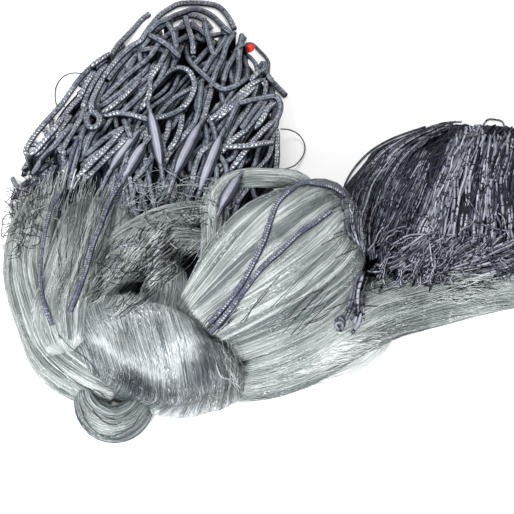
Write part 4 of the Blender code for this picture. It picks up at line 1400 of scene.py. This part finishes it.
# %% The runs on top
PLAIN, WORN, FLECKED, DARK = 0.45, 0.68, 1.0, 0.15
SIGHT_RUNS = [
    (PLAIN, [(-47, 253), (-49, 263), (-46, 274), (-41, 287), (-36, 297), (-29, 308), (-23, 318)]),
    (WORN, [(-59, 258), (-57, 270), (-53, 282), (-48, 294), (-42, 304), (-37, 315), (-31, 322)]),
    (WORN, [(-63, 280), (-56, 292), (-49, 302), (-41, 310), (-36, 321), (-30, 330), (-24, 339),
        (-18, 349), (-12, 355)]),
    (FLECKED, [(-76, 261), (-70, 274), (-64, 286), (-57, 297), (-49, 306), (-42, 312)]),
    (FLECKED, [(-66, 257), (-62, 269), (-58, 282), (-53, 293)]),
    (PLAIN, [(17, 348), (18, 336), (18, 324), (19, 312), (23, 302), (29, 295), (35, 288), (42, 280),
        (48, 276), (55, 278), (62, 283), (67, 288)]),
    (FLECKED, [(-15, 255), (-11, 265), (-7, 276), (-1, 286), (5, 294), (12, 298), (20, 295), (25, 285),
        (25, 274), (20, 261), (12, 253), (2, 248), (-9, 246), (-21, 250), (-31, 252), (-41, 250),
        (-49, 248)]),
    (PLAIN, [(-1, 288), (2, 298), (5, 310), (8, 323), (11, 335), (15, 344)]),
    (PLAIN, [(8, 298), (11, 310), (15, 321), (18, 330)]),
    (FLECKED, [(-11, 260), (-9, 272), (-9, 285), (-5, 295), (0, 303)]),
    (DARK, [(-46, 264), (-39, 274), (-31, 285), (-23, 295), (-15, 303), (-10, 309)]),
    (DARK, [(-46, 258), (-38, 266), (-30, 274), (-22, 284), (-15, 292), (-10, 300)]),
    (FLECKED, [(-44, 252), (-36, 260), (-29, 268), (-22, 278), (-16, 286)]),
    (PLAIN, [(-29, 253), (-23, 261), (-16, 270), (-11, 280)]),
    (PLAIN, [(33, 295), (37, 305), (43, 316), (48, 326), (53, 336)]),
    (PLAIN, [(39, 280), (42, 294), (47, 308), (50, 321), (56, 335)]),
    (PLAIN, [(48, 284), (51, 298), (56, 310), (60, 322), (64, 330)]),
    (PLAIN, [(58, 282), (60, 296), (60, 310), (61, 324), (62, 332)]),
    (FLECKED, [(76, 285), (67, 278), (59, 269), (52, 260), (45, 252), (37, 244)]),
    (FLECKED, [(72, 278), (65, 270), (58, 262), (51, 254), (44, 246)]),
    (PLAIN, [(60, 264), (56, 253), (53, 244), (50, 234), (48, 224)]),
    (DARK, [(31, 282), (30, 267), (29, 253), (25, 238)]),
    (WORN, [(39, 276), (36, 261), (34, 250), (31, 238)]),
    (WORN, [(25, 239), (19, 230), (12, 219), (7, 210), (4, 200)]),
    (WORN, [(41, 222), (33, 215), (29, 205), (27, 195), (26, 184)]),
    (FLECKED, [(86, 243), (79, 235), (72, 225), (66, 216), (61, 208), (56, 199)]),
    (FLECKED, [(66, 235), (59, 229), (53, 222), (48, 214)]),
    (FLECKED, [(49, 219), (58, 219), (68, 220), (78, 222), (85, 223)]),
    (PLAIN, [(61, 262), (69, 265), (78, 267), (86, 269), (90, 267), (92, 260), (91, 252), (88, 244)]),
    (DARK, [(63, 238), (68, 248), (73, 257), (78, 264)]),
    (FLECKED, [(73, 237), (79, 248), (82, 256), (87, 262)]),
    (WORN, [(70, 286), (75, 293), (80, 294), (84, 287), (90, 278), (96, 270)]),
    (FLECKED, [(-76, 261), (-84, 248), (-91, 237), (-97, 225), (-100, 216), (-96, 210), (-89, 214),
        (-84, 225), (-78, 238), (-73, 248)]),
    (WORN, [(-62, 267), (-69, 257), (-74, 246), (-78, 235), (-82, 225)]),
    (WORN, [(-57, 257), (-60, 248), (-64, 238), (-69, 226), (-73, 215)]),
    (PLAIN, [(-51, 248), (-57, 237), (-60, 225), (-61, 213), (-63, 201), (-64, 190)]),
    (PLAIN, [(-43, 244), (-50, 234), (-54, 223), (-56, 212)]),
    (DARK, [(-23, 239), (-33, 234), (-42, 226), (-49, 218), (-56, 210)]),
    (DARK, [(-22, 233), (-32, 226), (-41, 217), (-49, 210), (-56, 201)]),
    (FLECKED, [(-23, 230), (-30, 220), (-37, 211), (-44, 201), (-51, 192), (-57, 184)]),
    (FLECKED, [(-28, 236), (-35, 225), (-42, 214), (-49, 205), (-55, 196), (-60, 189)]),
    (WORN, [(-6, 207), (-12, 195), (-18, 186), (-24, 178), (-30, 168), (-33, 157)]),
    (FLECKED, [(-11, 185), (-17, 176), (-22, 166), (-26, 156)]),
    (WORN, [(7, 244), (6, 232), (3, 220), (6, 209)]),
    (FLECKED, [(17, 250), (16, 238), (13, 226), (8, 216)]),
    (WORN, [(-48, 248), (-54, 252), (-56, 246), (-53, 238), (-48, 239), (-46, 246), (-50, 253)]),
    (PLAIN, [(-27, 244), (-24, 236), (-21, 226)]),
    (FLECKED, [(-69, 248), (-74, 238), (-76, 226), (-74, 216)]),
    (WORN, [(22, 346), (27, 338), (26, 327), (32, 329), (40, 332), (48, 334)]),
    (WORN, [(33, 342), (28, 332), (25, 321), (24, 308)]),
    (DARK, [(40, 323), (34, 315), (28, 306), (24, 300)]),
    (WORN, [(-12, 336), (-4, 332), (2, 325), (7, 327), (11, 338), (16, 338)]),
    (DARK, [(-18, 315), (-10, 318), (-2, 317), (4, 312)]),
    (WORN, [(-16, 319), (-11, 329), (-5, 338), (3, 346), (12, 352), (23, 353), (32, 348), (38, 338)]),
    (PLAIN, [(-10, 308), (-5, 320), (3, 332), (11, 339), (21, 341), (30, 337), (37, 327)]),
    (PLAIN, [(-1, 304), (4, 317), (12, 326), (21, 330), (31, 326)]),
    (DARK, [(3, 344), (8, 334), (10, 321), (10, 308)]),
    (WORN, [(17, 351), (20, 338), (23, 325), (24, 312)]),
    (PLAIN, [(32, 349), (34, 336), (37, 323), (40, 312)]),
    (DARK, [(-11, 332), (-3, 327), (6, 319), (12, 310)]),
    (FLECKED, [(-98, 209), (-92, 216), (-86, 226), (-80, 236), (-75, 246)]),
    (WORN, [(-92, 195), (-87, 207), (-80, 218), (-74, 229), (-68, 238)]),
    (FLECKED, [(-84, 186), (-79, 197), (-73, 210), (-67, 220), (-62, 230)]),
    (PLAIN, [(-76, 180), (-71, 193), (-65, 205), (-59, 216), (-54, 226)]),
    (DARK, [(-67, 178), (-62, 191), (-57, 202), (-52, 213)]),
    (WORN, [(-58, 177), (-53, 189), (-48, 201), (-43, 212)]),
    (FLECKED, [(-100, 197), (-96, 207), (-92, 214)]),
    (DARK, [(-49, 175), (-44, 187), (-39, 198), (-35, 209)]),
    (WORN, [(-52, 252), (-53, 262), (-50, 274), (-45, 288), (-39, 300), (-33, 310), (-25, 320),
        (-18, 326), (-14, 335), (-10, 343), (-4, 353), (3, 360), (12, 366), (26, 367), (39, 365),
        (46, 360), (52, 350), (56, 339)]),
    (PLAIN, [(-12, 335), (-6, 344), (2, 349), (8, 353), (16, 357), (23, 360), (31, 358), (39, 352),
        (46, 343), (53, 334)]),
]
CURL = [(57, 316), (63, 322), (70, 323), (76, 316), (82, 307), (83, 300), (79, 296), (74, 292)]
print(len(SIGHT_RUNS), "runs and a curl of thin rope")

# %% [markdown]
# Where nothing in particular stands out, a patch is filled with random smooth curves. Each
# starts inside an oval and mostly follows the patch's slant, as ropes that were thrown down
# together do.

# %% Random runs in a patch
LEFT_EDGE = -113.0


def patch_runs(middle, reach, count, slant, points, stride, bend=0.35, spread=0.5):
    """Random smooth curves that start in an oval patch and mostly follow its slant."""
    for _ in range(count):
        heading = math.radians(slant) + dice.normal(0.0, spread) + math.pi * dice.integers(2)
        turn, away = dice.uniform(0.0, math.tau), 0.95 * math.sqrt(dice.uniform())
        steps = [away * np.array([math.cos(turn), math.sin(turn)]) * reach]
        for _ in range(points - 1):
            heading += dice.normal(0.0, bend)
            step = np.array([math.cos(heading), math.sin(heading)]) * dice.uniform(0.6, 1.4) * stride
            steps.append(steps[-1] * 0.93 + step)
        run = np.array(middle) + np.array(steps)
        run = run[run[:, 0] > LEFT_EDGE]
        if len(run) > 3:
            yield run


print("patches can be filled")

# %% [markdown]
# The corner where the rope goes under the net comes first, then the listed runs. When all
# of them lie, the map tells each one how deep it is buried. The top ones are shaded least.

# %% Lay the runs on top
CORNER = {"middle": (-72, 200), "reach": (18, 34), "count": 44, "slant": 66}
TOP_ROPE = ROPE + 0.2
CURL_ROPE = 2.6
rope_lines = []
for run in patch_runs(**CORNER, points=5, stride=9.0, bend=0.3, spread=0.3):
    girth = ROPE * dice.uniform(0.8, 1.0)
    rope_lines.append(Line(heap.lay_in_sight(run, girth), girth, dice.uniform(0.1, 1.0)))
for tone, run in SIGHT_RUNS:
    rope_lines.append(Line(heap.lay_in_sight(run, TOP_ROPE), TOP_ROPE, tone))
rope_lines.append(Line(heap.lay_in_sight(CURL, CURL_ROPE, 0.4), CURL_ROPE, DARK))
# Painted shade: `buried` darkens each run by how deep it lies; the top runs get at most 0.3 of it.
hidden_lines = [heap.depth(line) for line in hidden_lines]
rope_lines = [heap.depth(line, most=0.3) for line in rope_lines]
settle(make_ropes("float_line_under", hidden_lines, FLOAT_ROPE, 6), "float_line", "float_line")
settle(make_ropes("float_line_over", rope_lines, FLOAT_ROPE, 8), "float_line", "float_line")
above = (heap.heights - solid_heights)[(solid_heights > 20.0) & (covers == 0.0)]
print(len(rope_lines), "runs on top,", np.percentile(above, [5, 50, 95]).round(1), "mm over the solid")

# %% [markdown]
# ## The floats and the marker
# A float is a foam spindle inside the rope. Each lies between the two ends of its solid,
# which are read from the solid's longest way. A spindle is a rope whose thickness changes,
# so the rope recipe makes it too, on a line whose points carry a swelling thickness. The
# rope goes on from both tips and sinks into the heap.

# %% Make the floats
FLOAT_GIRTH = 9.3
NECK_GIRTH = 3.6
MARKER_GIRTH = 6.2
SPINDLE = [(0.0, 0.30), (0.04, 0.46), (0.1, 0.64), (0.2, 0.88), (0.35, 0.99), (0.5, 1.0)]
TAPE = [(0.0, 0.7), (0.2, 1.0), (0.35, 0.82), (0.5, 1.05)]
NECK_STEPS = np.array([-7.0, -2.0, 3.0, 8.0, 13.0])
NECK_SINKS = np.array([0.0, 0.2, 1.2, 3.4, 6.5])


def node_ends(name):
    """The two ends of a long solid, in millimetres."""
    points = np.array([vertex.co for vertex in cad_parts[name].data.vertices]) / MM
    middle = points.mean(axis=0)
    way = np.linalg.svd(points - middle, full_matrices=False)[2][0]
    reach = (points - middle) @ way
    return middle + way * reach.min(), middle + way * reach.max()


def spindle_line(name, girth, outline, tone):
    """A swelling line between a solid's two ends."""
    start, end = node_ends(name)
    whole = outline + [(1.0 - share, size) for share, size in reversed(outline[:-1])]
    shares, sizes = np.array(whole).T
    steps = np.linspace(0.0, 1.0, 29)
    points = start + (end - start) * steps[:, None]
    return Line(points, girth * np.interp(steps, shares, sizes), tone)


def neck_lines(name):
    """The rope that goes on from each end of a float and down into the heap."""
    start, end = node_ends(name)
    way = (end - start) / np.linalg.norm(end - start)
    for tip, ahead in ((start, -way), (end, way)):
        points = tip + ahead * NECK_STEPS[:, None] - np.outer(NECK_SINKS, (0.0, 0.0, 1.0))
        yield Line(points, NECK_GIRTH, PLAIN)


float_names = sorted(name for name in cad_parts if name.startswith("float_0"))
float_lines = [spindle_line(name, FLOAT_GIRTH, SPINDLE, 0.5) for name in float_names]
settle(make_ropes("floats", float_lines, FLOAT_SKIN, 20), "float", *float_names)
necks = [line for name in float_names for line in neck_lines(name)]
settle(make_ropes("float_necks", necks, FLOAT_ROPE, 8), "float_line", "float_line")
tape = spindle_line("marker", MARKER_GIRTH, TAPE, 0.5)
settle(make_ropes("marker_tape", [tape], RED_TAPE.material, 12), "marker", "marker")
print(len(float_lines), "floats with", len(necks), "necks, and the marker")

# %% [markdown]
# ## The lead line's hank
# The lead line is thin, and its hank is a mound in painted shade with cords over it. Cords
# run around the mound and along its side, laid by the thread recipe with thicker threads.
# They are painted nearly black as shade, because they are the ones that show in the gaps
# between the top cords.

# %% Lay the lead line's mound
lead_mound = loft_object("lead_line_mound", LEAD_HANK, 40, 84, LEAD_MOUND, 2.0, 41, 3.0)
lead_skin = loft_object("lead_line_skin", LEAD_HANK, 40, 84, LEAD_MOUND, 0.8, 41, 2.0)
settle(lead_mound, "lead_line", "lead_line")
LEAD_SETS = {
    "lead_cords_side": Threads(
        "lead", LEAD_CORD_SHADED, 90, 16, 1.9, (-0.01, 0.10), (0.20, 0.50), (-0.02, 0.5), (-0.05, 0.5), 0.03,
        locks=16, pull=0.6, bulge=0.0, lift=2.0, wander=0.05, waves=2.5, seed=20),
    "lead_cords_under": Threads(
        "lead", LEAD_CORD_SHADED, 230, 18, 2.0, (0.03, 0.12), (0.50, 0.62), (0.36, 1.0), (-0.2, 0.98), 0.02,
        locks=26, pull=0.8, bulge=0.0, lift=1.8, wander=0.05, waves=3.0, seed=21, around=True),
}
for name, kind in LEAD_SETS.items():
    settle(lay_threads(name, lead_skin, kind, 5), "lead_line", "lead_line")

# %% [markdown]
# ## Loose lines
# Between the bundles the net makes a mess of its own: single cords loop off the hanks, thin
# dark lines of painted shade run in the creases between the locks of thread, and a few pale
# threads hang over the ropes. The ones that stand out are given one by one, each row of
# points a line of sight.

# %% Single lines by hand
LOOSE_LINES = [
    ("lead_loops", "lead_line", LEAD_CORD, 1.4, [
        [(262, 238), (261, 244), (256, 246), (250, 246), (246, 240), (243, 232)],
        [(230, 244), (218, 243), (206, 239), (191, 230), (179, 219), (166, 207), (155, 194),
         (147, 178), (142, 164), (144, 156)],
        [(218, 238), (201, 233), (183, 220), (169, 207), (158, 192), (151, 178), (147, 166)],
        [(205, 236), (188, 226), (172, 213), (160, 199), (150, 184), (147, 173)],
    ]),
    ("bight_loops", "lead_line", LEAD_CORD, 2.2, [
        [(150, 101), (149, 94), (149, 84), (149, 72), (148, 60)],
        [(153, 105), (148, 96), (147, 86), (147, 74), (146, 62), (142, 56)],
        [(148, 105), (144, 96), (141, 86), (138, 74), (134, 66), (131, 59)],
        [(152, 108), (145, 98), (143, 86), (140, 74), (136, 64)],
        [(157, 114), (151, 105), (146, 93), (144, 81), (142, 69), (138, 61)],
        [(149, 100), (146, 89), (145, 78), (144, 66), (140, 59)],
    ]),
    # The ear, tail and roll crease sets below are thin dark lines of painted shade where the net folds.
    ("ear_creases", "netting", TWINE_AND_SHADE_LINES, 0.55, [
        [(125, 157), (131, 162), (139, 166), (147, 166)],
        [(123, 155), (132, 159), (141, 162), (148, 162)],
        [(119, 71), (129, 75), (140, 81)],
        [(93, 39), (104, 41), (115, 46), (125, 54)],
        [(131, 148), (140, 152), (149, 153)],
        [(92, 73), (104, 82), (116, 88), (127, 94)],
        [(104, 72), (120, 77), (134, 88)],
        [(108, 62), (117, 65), (125, 71), (133, 78)],
        [(65, 62), (73, 78), (82, 91), (93, 105)],
        [(62, 61), (69, 71), (78, 83), (85, 94)],
        [(78, 56), (92, 62), (104, 68)],
        [(104, 60), (113, 62), (121, 66), (128, 73)],
        [(128, 137), (137, 141), (146, 142)],
        [(126, 114), (137, 121), (147, 126)],
        [(120, 128), (131, 135), (143, 140)],
    ]),
    ("tail_creases", "netting", TWINE_AND_SHADE_LINES, 0.6, [
        [(223, 97), (232, 96), (241, 95), (254, 99)],
        [(204, 84), (219, 82), (233, 78), (252, 76)],
        [(178, 81), (192, 84), (208, 89)],
        [(161, 71), (178, 76), (196, 78)],
        [(225, 89), (238, 89), (251, 92)],
        [(169, 93), (183, 97), (199, 101)],
    ]),
    ("roll_creases", "netting", TWINE_AND_SHADE_LINES, 0.6, [
        [(-47, 5), (-45, -8), (-38, -22), (-25, -29), (-11, -22), (-4, -10)],
        [(-44, 9), (-34, 6), (-27, -2)],
        [(-34, -11), (-21, -16), (-10, -9)],
        [(-40, -2), (-34, -13), (-24, -20), (-13, -16)],
        [(-66, 54), (-56, 42), (-43, 31), (-34, 18)],
        [(-71, 34), (-60, 22), (-48, 12), (-37, 6)],
        [(-80, 42), (-69, 28), (-56, 17)],
    ]),
    ("cord_tops", "rope_lead", LEAD_ROPE, 3.6, [
        [(-70, 180), (-69, 188), (-67, 199), (-65, 212), (-62, 226)],
        [(-29, 181), (-26, 194), (-21, 207), (-16, 219)],
    ]),
    ("bight_knot", "lead_line", LEAD_CORD, 2.2, [
        [(129, 63), (132, 66), (135, 62), (133, 58), (129, 59), (130, 63), (134, 64)],
        [(130, 56), (133, 56), (134, 61), (132, 62), (129, 60), (131, 56)],
    ]),
    ("knot_spot", "netting", NYLON["pale"], 1.8, [
        [(131, 54), (132, 53), (134, 54)],
    ]),
    ("pale_bits", "netting", NYLON["pale"], 1.0, [
        [(-64, 181), (-63, 187), (-62, 194), (-61, 198)],
        [(-62, 180), (-60, 186), (-58, 190)],
        [(2, 201), (6, 197), (13, 192), (20, 186), (29, 182), (38, 180)],
        [(-5, 165), (2, 173), (11, 177), (20, 175), (28, 167)],
    ]),
]
print(sum(len(row[-1]) for row in LOOSE_LINES), "single lines in", len(LOOSE_LINES), "sets")

# %% [markdown]
# A sheaf is a set of lines that run side by side, such as the lead line's turns where they
# fan over their hank. Its rows are stretches: the first is where the lines start, the last
# where they end, and each line keeps its share of the way along every stretch. `cut` says
# how much of that way a line may leave out, and `groups` draws them together into strands.

# %% Sheaves of lines
Wisps = namedtuple("Wisps", "name slot finish count girth tone wave rows cut groups",
                   defaults=((0.35, 0.6), 0))
# The sheaves in the dark twine finish, the shades and the ear's base, are thin dark lines of painted shade
# among the threads.
WISPS = [
    Wisps("lead_fan_inner", "lead_line", LEAD_CORD, 84, 1.6, (0.0, 1.0), 4.0,
          [((210, 209), (198, 220)), ((190, 165), (179, 190)), ((176, 129), (162, 149)),
           ((168, 105), (153, 130))], (0.4, 0.9), 14),
    Wisps("lead_fan_outer", "lead_line", LEAD_CORD, 64, 1.6, (0.0, 1.0), 2.5,
          [((224, 239), (226, 246)), ((195, 219), (178, 226)), ((174, 180), (147, 190)),
           ((160, 140), (141, 156)), ((158, 114), (144, 131))], (0.25, 0.9), 11),
    Wisps("lead_fan_middle", "lead_line", LEAD_CORD, 74, 1.8, (0.0, 1.0), 4.0,
          [((225, 232), (244, 242)), ((212, 195), (229, 201)), ((193, 146), (214, 149)),
           ((174, 108), (205, 110))], (0.15, 0.8), 12),
    Wisps("lead_fan_right", "lead_line", LEAD_CORD, 104, 2.0, (0.0, 1.0), 4.0,
          [((239, 238), (323, 217)), ((224, 193), (320, 190)), ((216, 146), (323, 146)),
           ((210, 110), (324, 114))], (0.15, 0.8), 26),
    Wisps("foot_cross", "lead_line", LEAD_CORD, 84, 1.3, (0.1, 1.0), 4.0,
          [((153, 105), (204, 94)), ((174, 124), (227, 114)), ((192, 140), (261, 140))], (0.4, 0.6)),
    Wisps("foot_drops", "lead_line", LEAD_CORD, 100, 1.2, (0.1, 1.0), 4.0,
          [((178, 138), (294, 138)), ((166, 114), (281, 114)), ((156, 88), (269, 98))]),
    Wisps("foot_sweep", "lead_line", LEAD_CORD, 24, 1.8, (0.2, 1.0), 3.0,
          [((205, 108), (226, 98)), ((249, 124), (263, 114)), ((296, 156), (309, 142))], (0.04, 0.93)),
    Wisps("left_wisps", "netting", NYLON["pale"], 110, 0.36, (0.2, 1.0), 3.0,
          [((-107, 172), (-66, 208)), ((-103, 114), (-80, 114))], (0.25, 0.6)),
    Wisps("fan_wisps", "netting", NYLON["soft"], 90, 0.36, (0.2, 1.0), 3.0,
          [((-58, 202), (-24, 182)), ((-70, 114), (-42, 117))]),
    Wisps("fan_shades", "netting", TWINE_AND_SHADE_LINES, 24, 0.4, (0.0, 0.7), 3.0,
          [((-76, 186), (-26, 168)), ((-68, 81), (-44, 81))]),
    Wisps("stream_wisps", "netting", NYLON["pale"], 150, 0.42, (0.1, 1.0), 4.0,
          [((-5, 166), (43, 137)), ((-51, 81), (-24, 66))]),
    Wisps("stream_shades", "netting", TWINE_AND_SHADE_LINES, 60, 0.5, (0.0, 0.6), 4.0,
          [((-5, 166), (43, 137)), ((-51, 81), (-24, 66))]),
    Wisps("knot_strays", "netting", NYLON["pale"], 26, 0.36, (0.3, 1.0), 4.0,
          [((50, 51), (60, 34)), ((57, 17), (66, 1))]),
    Wisps("arch_wisps", "netting", NYLON["pale"], 40, 0.36, (0.3, 1.0), 4.0,
          [((42, 186), (48, 173)), ((37, 137), (46, 128))]),
    Wisps("tail_wisps", "netting", NYLON["pale"], 80, 0.36, (0.2, 1.0), 5.0,
          [((142, 76), (162, 103)), ((248, 108), (250, 78))]),
    Wisps("tail_shades", "netting", TWINE_AND_SHADE_LINES, 24, 0.5, (0.0, 0.7), 5.0,
          [((133, 76), (156, 96)), ((248, 112), (250, 81))]),
    Wisps("flap_wisps", "netting", NYLON["clear"], 60, 0.36, (0.3, 1.0), 4.0,
          [((69, 9), (104, 38)), ((159, 38), (171, 56))]),
    Wisps("ear_shades", "netting", TWINE_AND_SHADE_LINES, 14, 0.36, (0.0, 0.7), 1.0,
          [((69, 56), (104, 49)), ((127, 130), (144, 93))]),
    Wisps("ear_base_shade", "netting", TWINE_AND_SHADE_LINES, 26, 0.4, (0.0, 0.4), 2.0,
          [((63, 76), (56, 83)), ((52, 62), (45, 71)), ((43, 49), (34, 59))]),
]
print(sum(kind.count for kind in WISPS), "lines in", len(WISPS), "sheaves")

# %% [markdown]
# A tangle has no order at all: mesh that strays over the ropes, or thin cord at the foot of
# its hank. Each is a patch of random smooth curves with a middle, a reach, a number of
# lines and a slant in degrees, then the points of a line, its stride, its girth, how far it
# lifts off what lies under it, and its range of tones.

# %% Tangles
Tangle = namedtuple("Tangle", "name slot finish middle reach count slant"
                              " points stride girth lift tone")
TANGLES = [
    Tangle("pale_mesh", "netting", NYLON["soft"], (12, 168), (34, 26), 42, 20,
           11, 4.5, 0.35, 1.5, (0.2, 0.9)),
    # The tangles in the dark twine finish, the dark, left and stream mesh, stand for mesh in painted shade.
    Tangle("dark_mesh", "netting", TWINE_AND_SHADE_LINES, (8, 160), (38, 26), 40, 20,
           9, 4.5, 0.5, 1.0, (0.0, 0.6)),
    Tangle("left_mesh", "netting", TWINE_AND_SHADE_LINES, (-98, 156), (13, 28), 60, 90,
           9, 4.0, 0.55, 1.0, (0.0, 0.6)),
    Tangle("left_glints", "netting", NYLON["mid"], (-95, 158), (13, 28), 14, 90,
           9, 4.5, 0.35, 1.5, (0.3, 1.0)),
    Tangle("stream_mesh", "netting", TWINE_AND_SHADE_LINES, (-8, 112), (32, 20), 40, 35,
           8, 5.0, 0.5, 0.5, (0.0, 0.5)),
    Tangle("stream_glints", "netting", NYLON["mid"], (-8, 112), (34, 22), 16, 35,
           8, 5.0, 0.35, 1.0, (0.2, 0.9)),
    Tangle("foot_cords", "lead_line", LEAD_CORD, (190, 118), (40, 22), 26, 62,
           6, 6.0, 1.3, 0.8, (0.0, 1.0)),
    Tangle("foot_right", "lead_line", LEAD_CORD, (244, 132), (40, 18), 20, 50,
           6, 6.0, 1.3, 0.8, (0.0, 1.0)),
]
print(sum(kind.count for kind in TANGLES), "curves in", len(TANGLES), "tangles")

# %% [markdown]
# All of these are laid on a second map: the ropes, the net and the lead line's hank
# together. Nothing covers it, so its lids are all zero. A few ropes that show through the
# gap in the middle of the net come first.

# %% Lay the single lines
GAP = {"middle": (-4, 116), "reach": (20, 14), "count": 10, "slant": 60}
GAP_ROPE = ROPE * 0.9
lead_heights = surface_heights([lead_skin, bodies["tail"], bodies["roll"], bodies["flap"]])
bpy.data.objects.remove(lead_skin)
top_map = Heap(np.maximum(np.maximum(heap.heights, covers), lead_heights), np.zeros(MAP_SIZE))


def settle_lines(name, slot, lines, finish, sides):
    """Make a set of loose lines and let it stand for the solid that it dresses."""
    solid = "netting" if slot == "rope_lead" else slot
    settle(make_ropes(name, lines, finish, sides), slot, solid)


gap_lines = []
for run in patch_runs(**GAP, points=5, stride=7.0):
    gap_lines.append(Line(top_map.lay_in_sight(run, GAP_ROPE), GAP_ROPE, dice.uniform(0.4, 1.0)))
settle_lines("float_line_gap", "float_line", gap_lines, FLOAT_ROPE, 8)
for name, slot, finish, girth, runs in LOOSE_LINES:
    lines = []
    for run in runs:
        points = top_map.lay_in_sight(run, girth, sink=0.2, bridge=2, spacing=1.6, dive=1.0)
        lines.append(Line(points, girth, dice.uniform(0.2, 0.9)))
    settle_lines(name, slot, lines, finish, 6)

# %% [markdown]
# A line of a sheaf is read from the rows at 33 places, cut short at both ends, and then
# bowed and shaken a little, so that no two lie alike. Cords sink a little into what they
# lie on, and fine threads don't.

# %% Lay the sheaves
PLACES = 33
KEPT = 9
FINE = 0.8
THICK = 1.6


def wisp_runs(kind):
    """Slightly waving lines that follow a table's rows, from its first stretch to its last."""
    rows = np.array(kind.rows, float)
    apart = 0.02 if kind.groups else 0.06
    for _ in range(kind.count):
        share = dice.uniform()
        if kind.groups:
            place = share * kind.groups
            share = (math.floor(place) + 0.5 + (place % 1.0 - 0.5) * 0.8) / kind.groups
        share = np.clip(share + dice.normal(0.0, apart, (len(rows), 1)), 0.0, 1.0)
        line = smooth(rows[:, 0] + (rows[:, 1] - rows[:, 0]) * share, PLACES)
        way = np.linspace(dice.uniform(0.0, kind.cut[0]), dice.uniform(kind.cut[1], 1.0), KEPT)
        steps = way * (PLACES - 1.0)
        columns = [np.interp(steps, np.arange(float(PLACES)), line[:, axis]) for axis in (0, 1)]
        bow = np.sin(way * math.pi)[:, None] * dice.normal(0.0, kind.wave, (1, 2))
        yield np.column_stack(columns) + dice.normal(0.0, kind.wave / 5.0, (KEPT, 2)) + bow


for kind in WISPS:
    lines = []
    for run in wisp_runs(kind):
        girth = kind.girth * dice.uniform(0.7, 1.3)
        sink = girth * dice.uniform(0.3, 1.0) if girth > FINE else 0.0
        bridge = 3 if girth > FINE else 1
        points = top_map.lay_in_sight(run, girth, sink, bridge, spacing=4.0, dive=girth * 1.5)
        lines.append(Line(points, girth, dice.uniform(*kind.tone)))
    settle_lines(kind.name, kind.slot, lines, kind.finish, 5 if kind.girth > THICK else 3)

# %% [markdown]
# A tangle's curves rise off what lies under them by a random share of their lift, which is
# a sink below zero. A long bridge keeps them from dropping into every gap.

# %% Lay the tangles
for kind in TANGLES:
    lines = []
    patch = patch_runs(kind.middle, kind.reach, kind.count, kind.slant, kind.points, kind.stride)
    for run in patch:
        girth = kind.girth * dice.uniform(0.8, 1.2)
        sink = -kind.lift * dice.uniform()
        points = top_map.lay_in_sight(run, girth, sink, bridge=4, dive=kind.lift)
        lines.append(Line(points, girth, dice.uniform(*kind.tone)))
    settle_lines(kind.name, kind.slot, lines, kind.finish, 5 if kind.girth > THICK else 3)

# %% [markdown]
# ## The table and the light
# A plain pale table keeps the eye on the net. It glows very slightly, which keeps it
# nearly white without a stronger light that would wash out the nylon's glints.

# %% The table
TABLE_REACH = 3.0
TABLE_GLOW = 0.18
corners = [(-1, -1), (1, -1), (1, 1), (-1, 1)]
floor_mesh = bpy.data.meshes.new("floor")
floor_mesh.from_pydata([(x * TABLE_REACH, y * TABLE_REACH, 0.0) for x, y in corners], [], [(0, 1, 2, 3)])
floor = bpy.data.objects.new("floor", floor_mesh)
bpy.context.scene.collection.objects.link(floor)
paper = Finish("white_paper", 0.9, 0.1)
paper.colour((0.93, 0.93, 0.93))
paper.shader.inputs["Emission Color"].default_value = (1.0, 1.0, 1.0, 1.0)
paper.shader.inputs["Emission Strength"].default_value = TABLE_GLOW
floor_mesh.materials.append(paper.material)
print("the table is", 2.0 * TABLE_REACH, "m wide")

# %% [markdown]
# A soft white world fills the shadows. The brighter lamp stands near the camera, which adds
# real shine where the bound net faces us, over the painted highlight band there, and a wide
# lamp lights the top.

# %% The lights
WORLD_STRENGTH = 0.52
Lamp = namedtuple("Lamp", "name place aim size watts")
LAMPS = [
    Lamp("key", (-0.25, -0.85, 0.80), (0.05, 0.10, 0.03), 0.26, 21.0),
    Lamp("top", (0.1, 0.45, 1.2), (0.07, 0.15, 0.0), 0.8, 8.0),
]
scene = bpy.context.scene
scene.view_settings.view_transform = "Standard"
world = bpy.data.worlds.new("soft_white")
world.use_nodes = True
sky = world.node_tree.nodes["Background"].inputs
sky["Color"].default_value = (1.0, 1.0, 1.0, 1.0)
sky["Strength"].default_value = WORLD_STRENGTH
scene.world = world
for lamp in LAMPS:
    light = bpy.data.lights.new(lamp.name, "AREA")
    light.shape = "DISK"
    light.size = lamp.size
    light.energy = lamp.watts
    holder = bpy.data.objects.new(lamp.name, light)
    holder.location = lamp.place
    holder.rotation_euler = (Vector(lamp.aim) - Vector(lamp.place)).to_track_quat("-Z", "Y").to_euler()
    scene.collection.objects.link(holder)
print(len(LAMPS), "lamps")
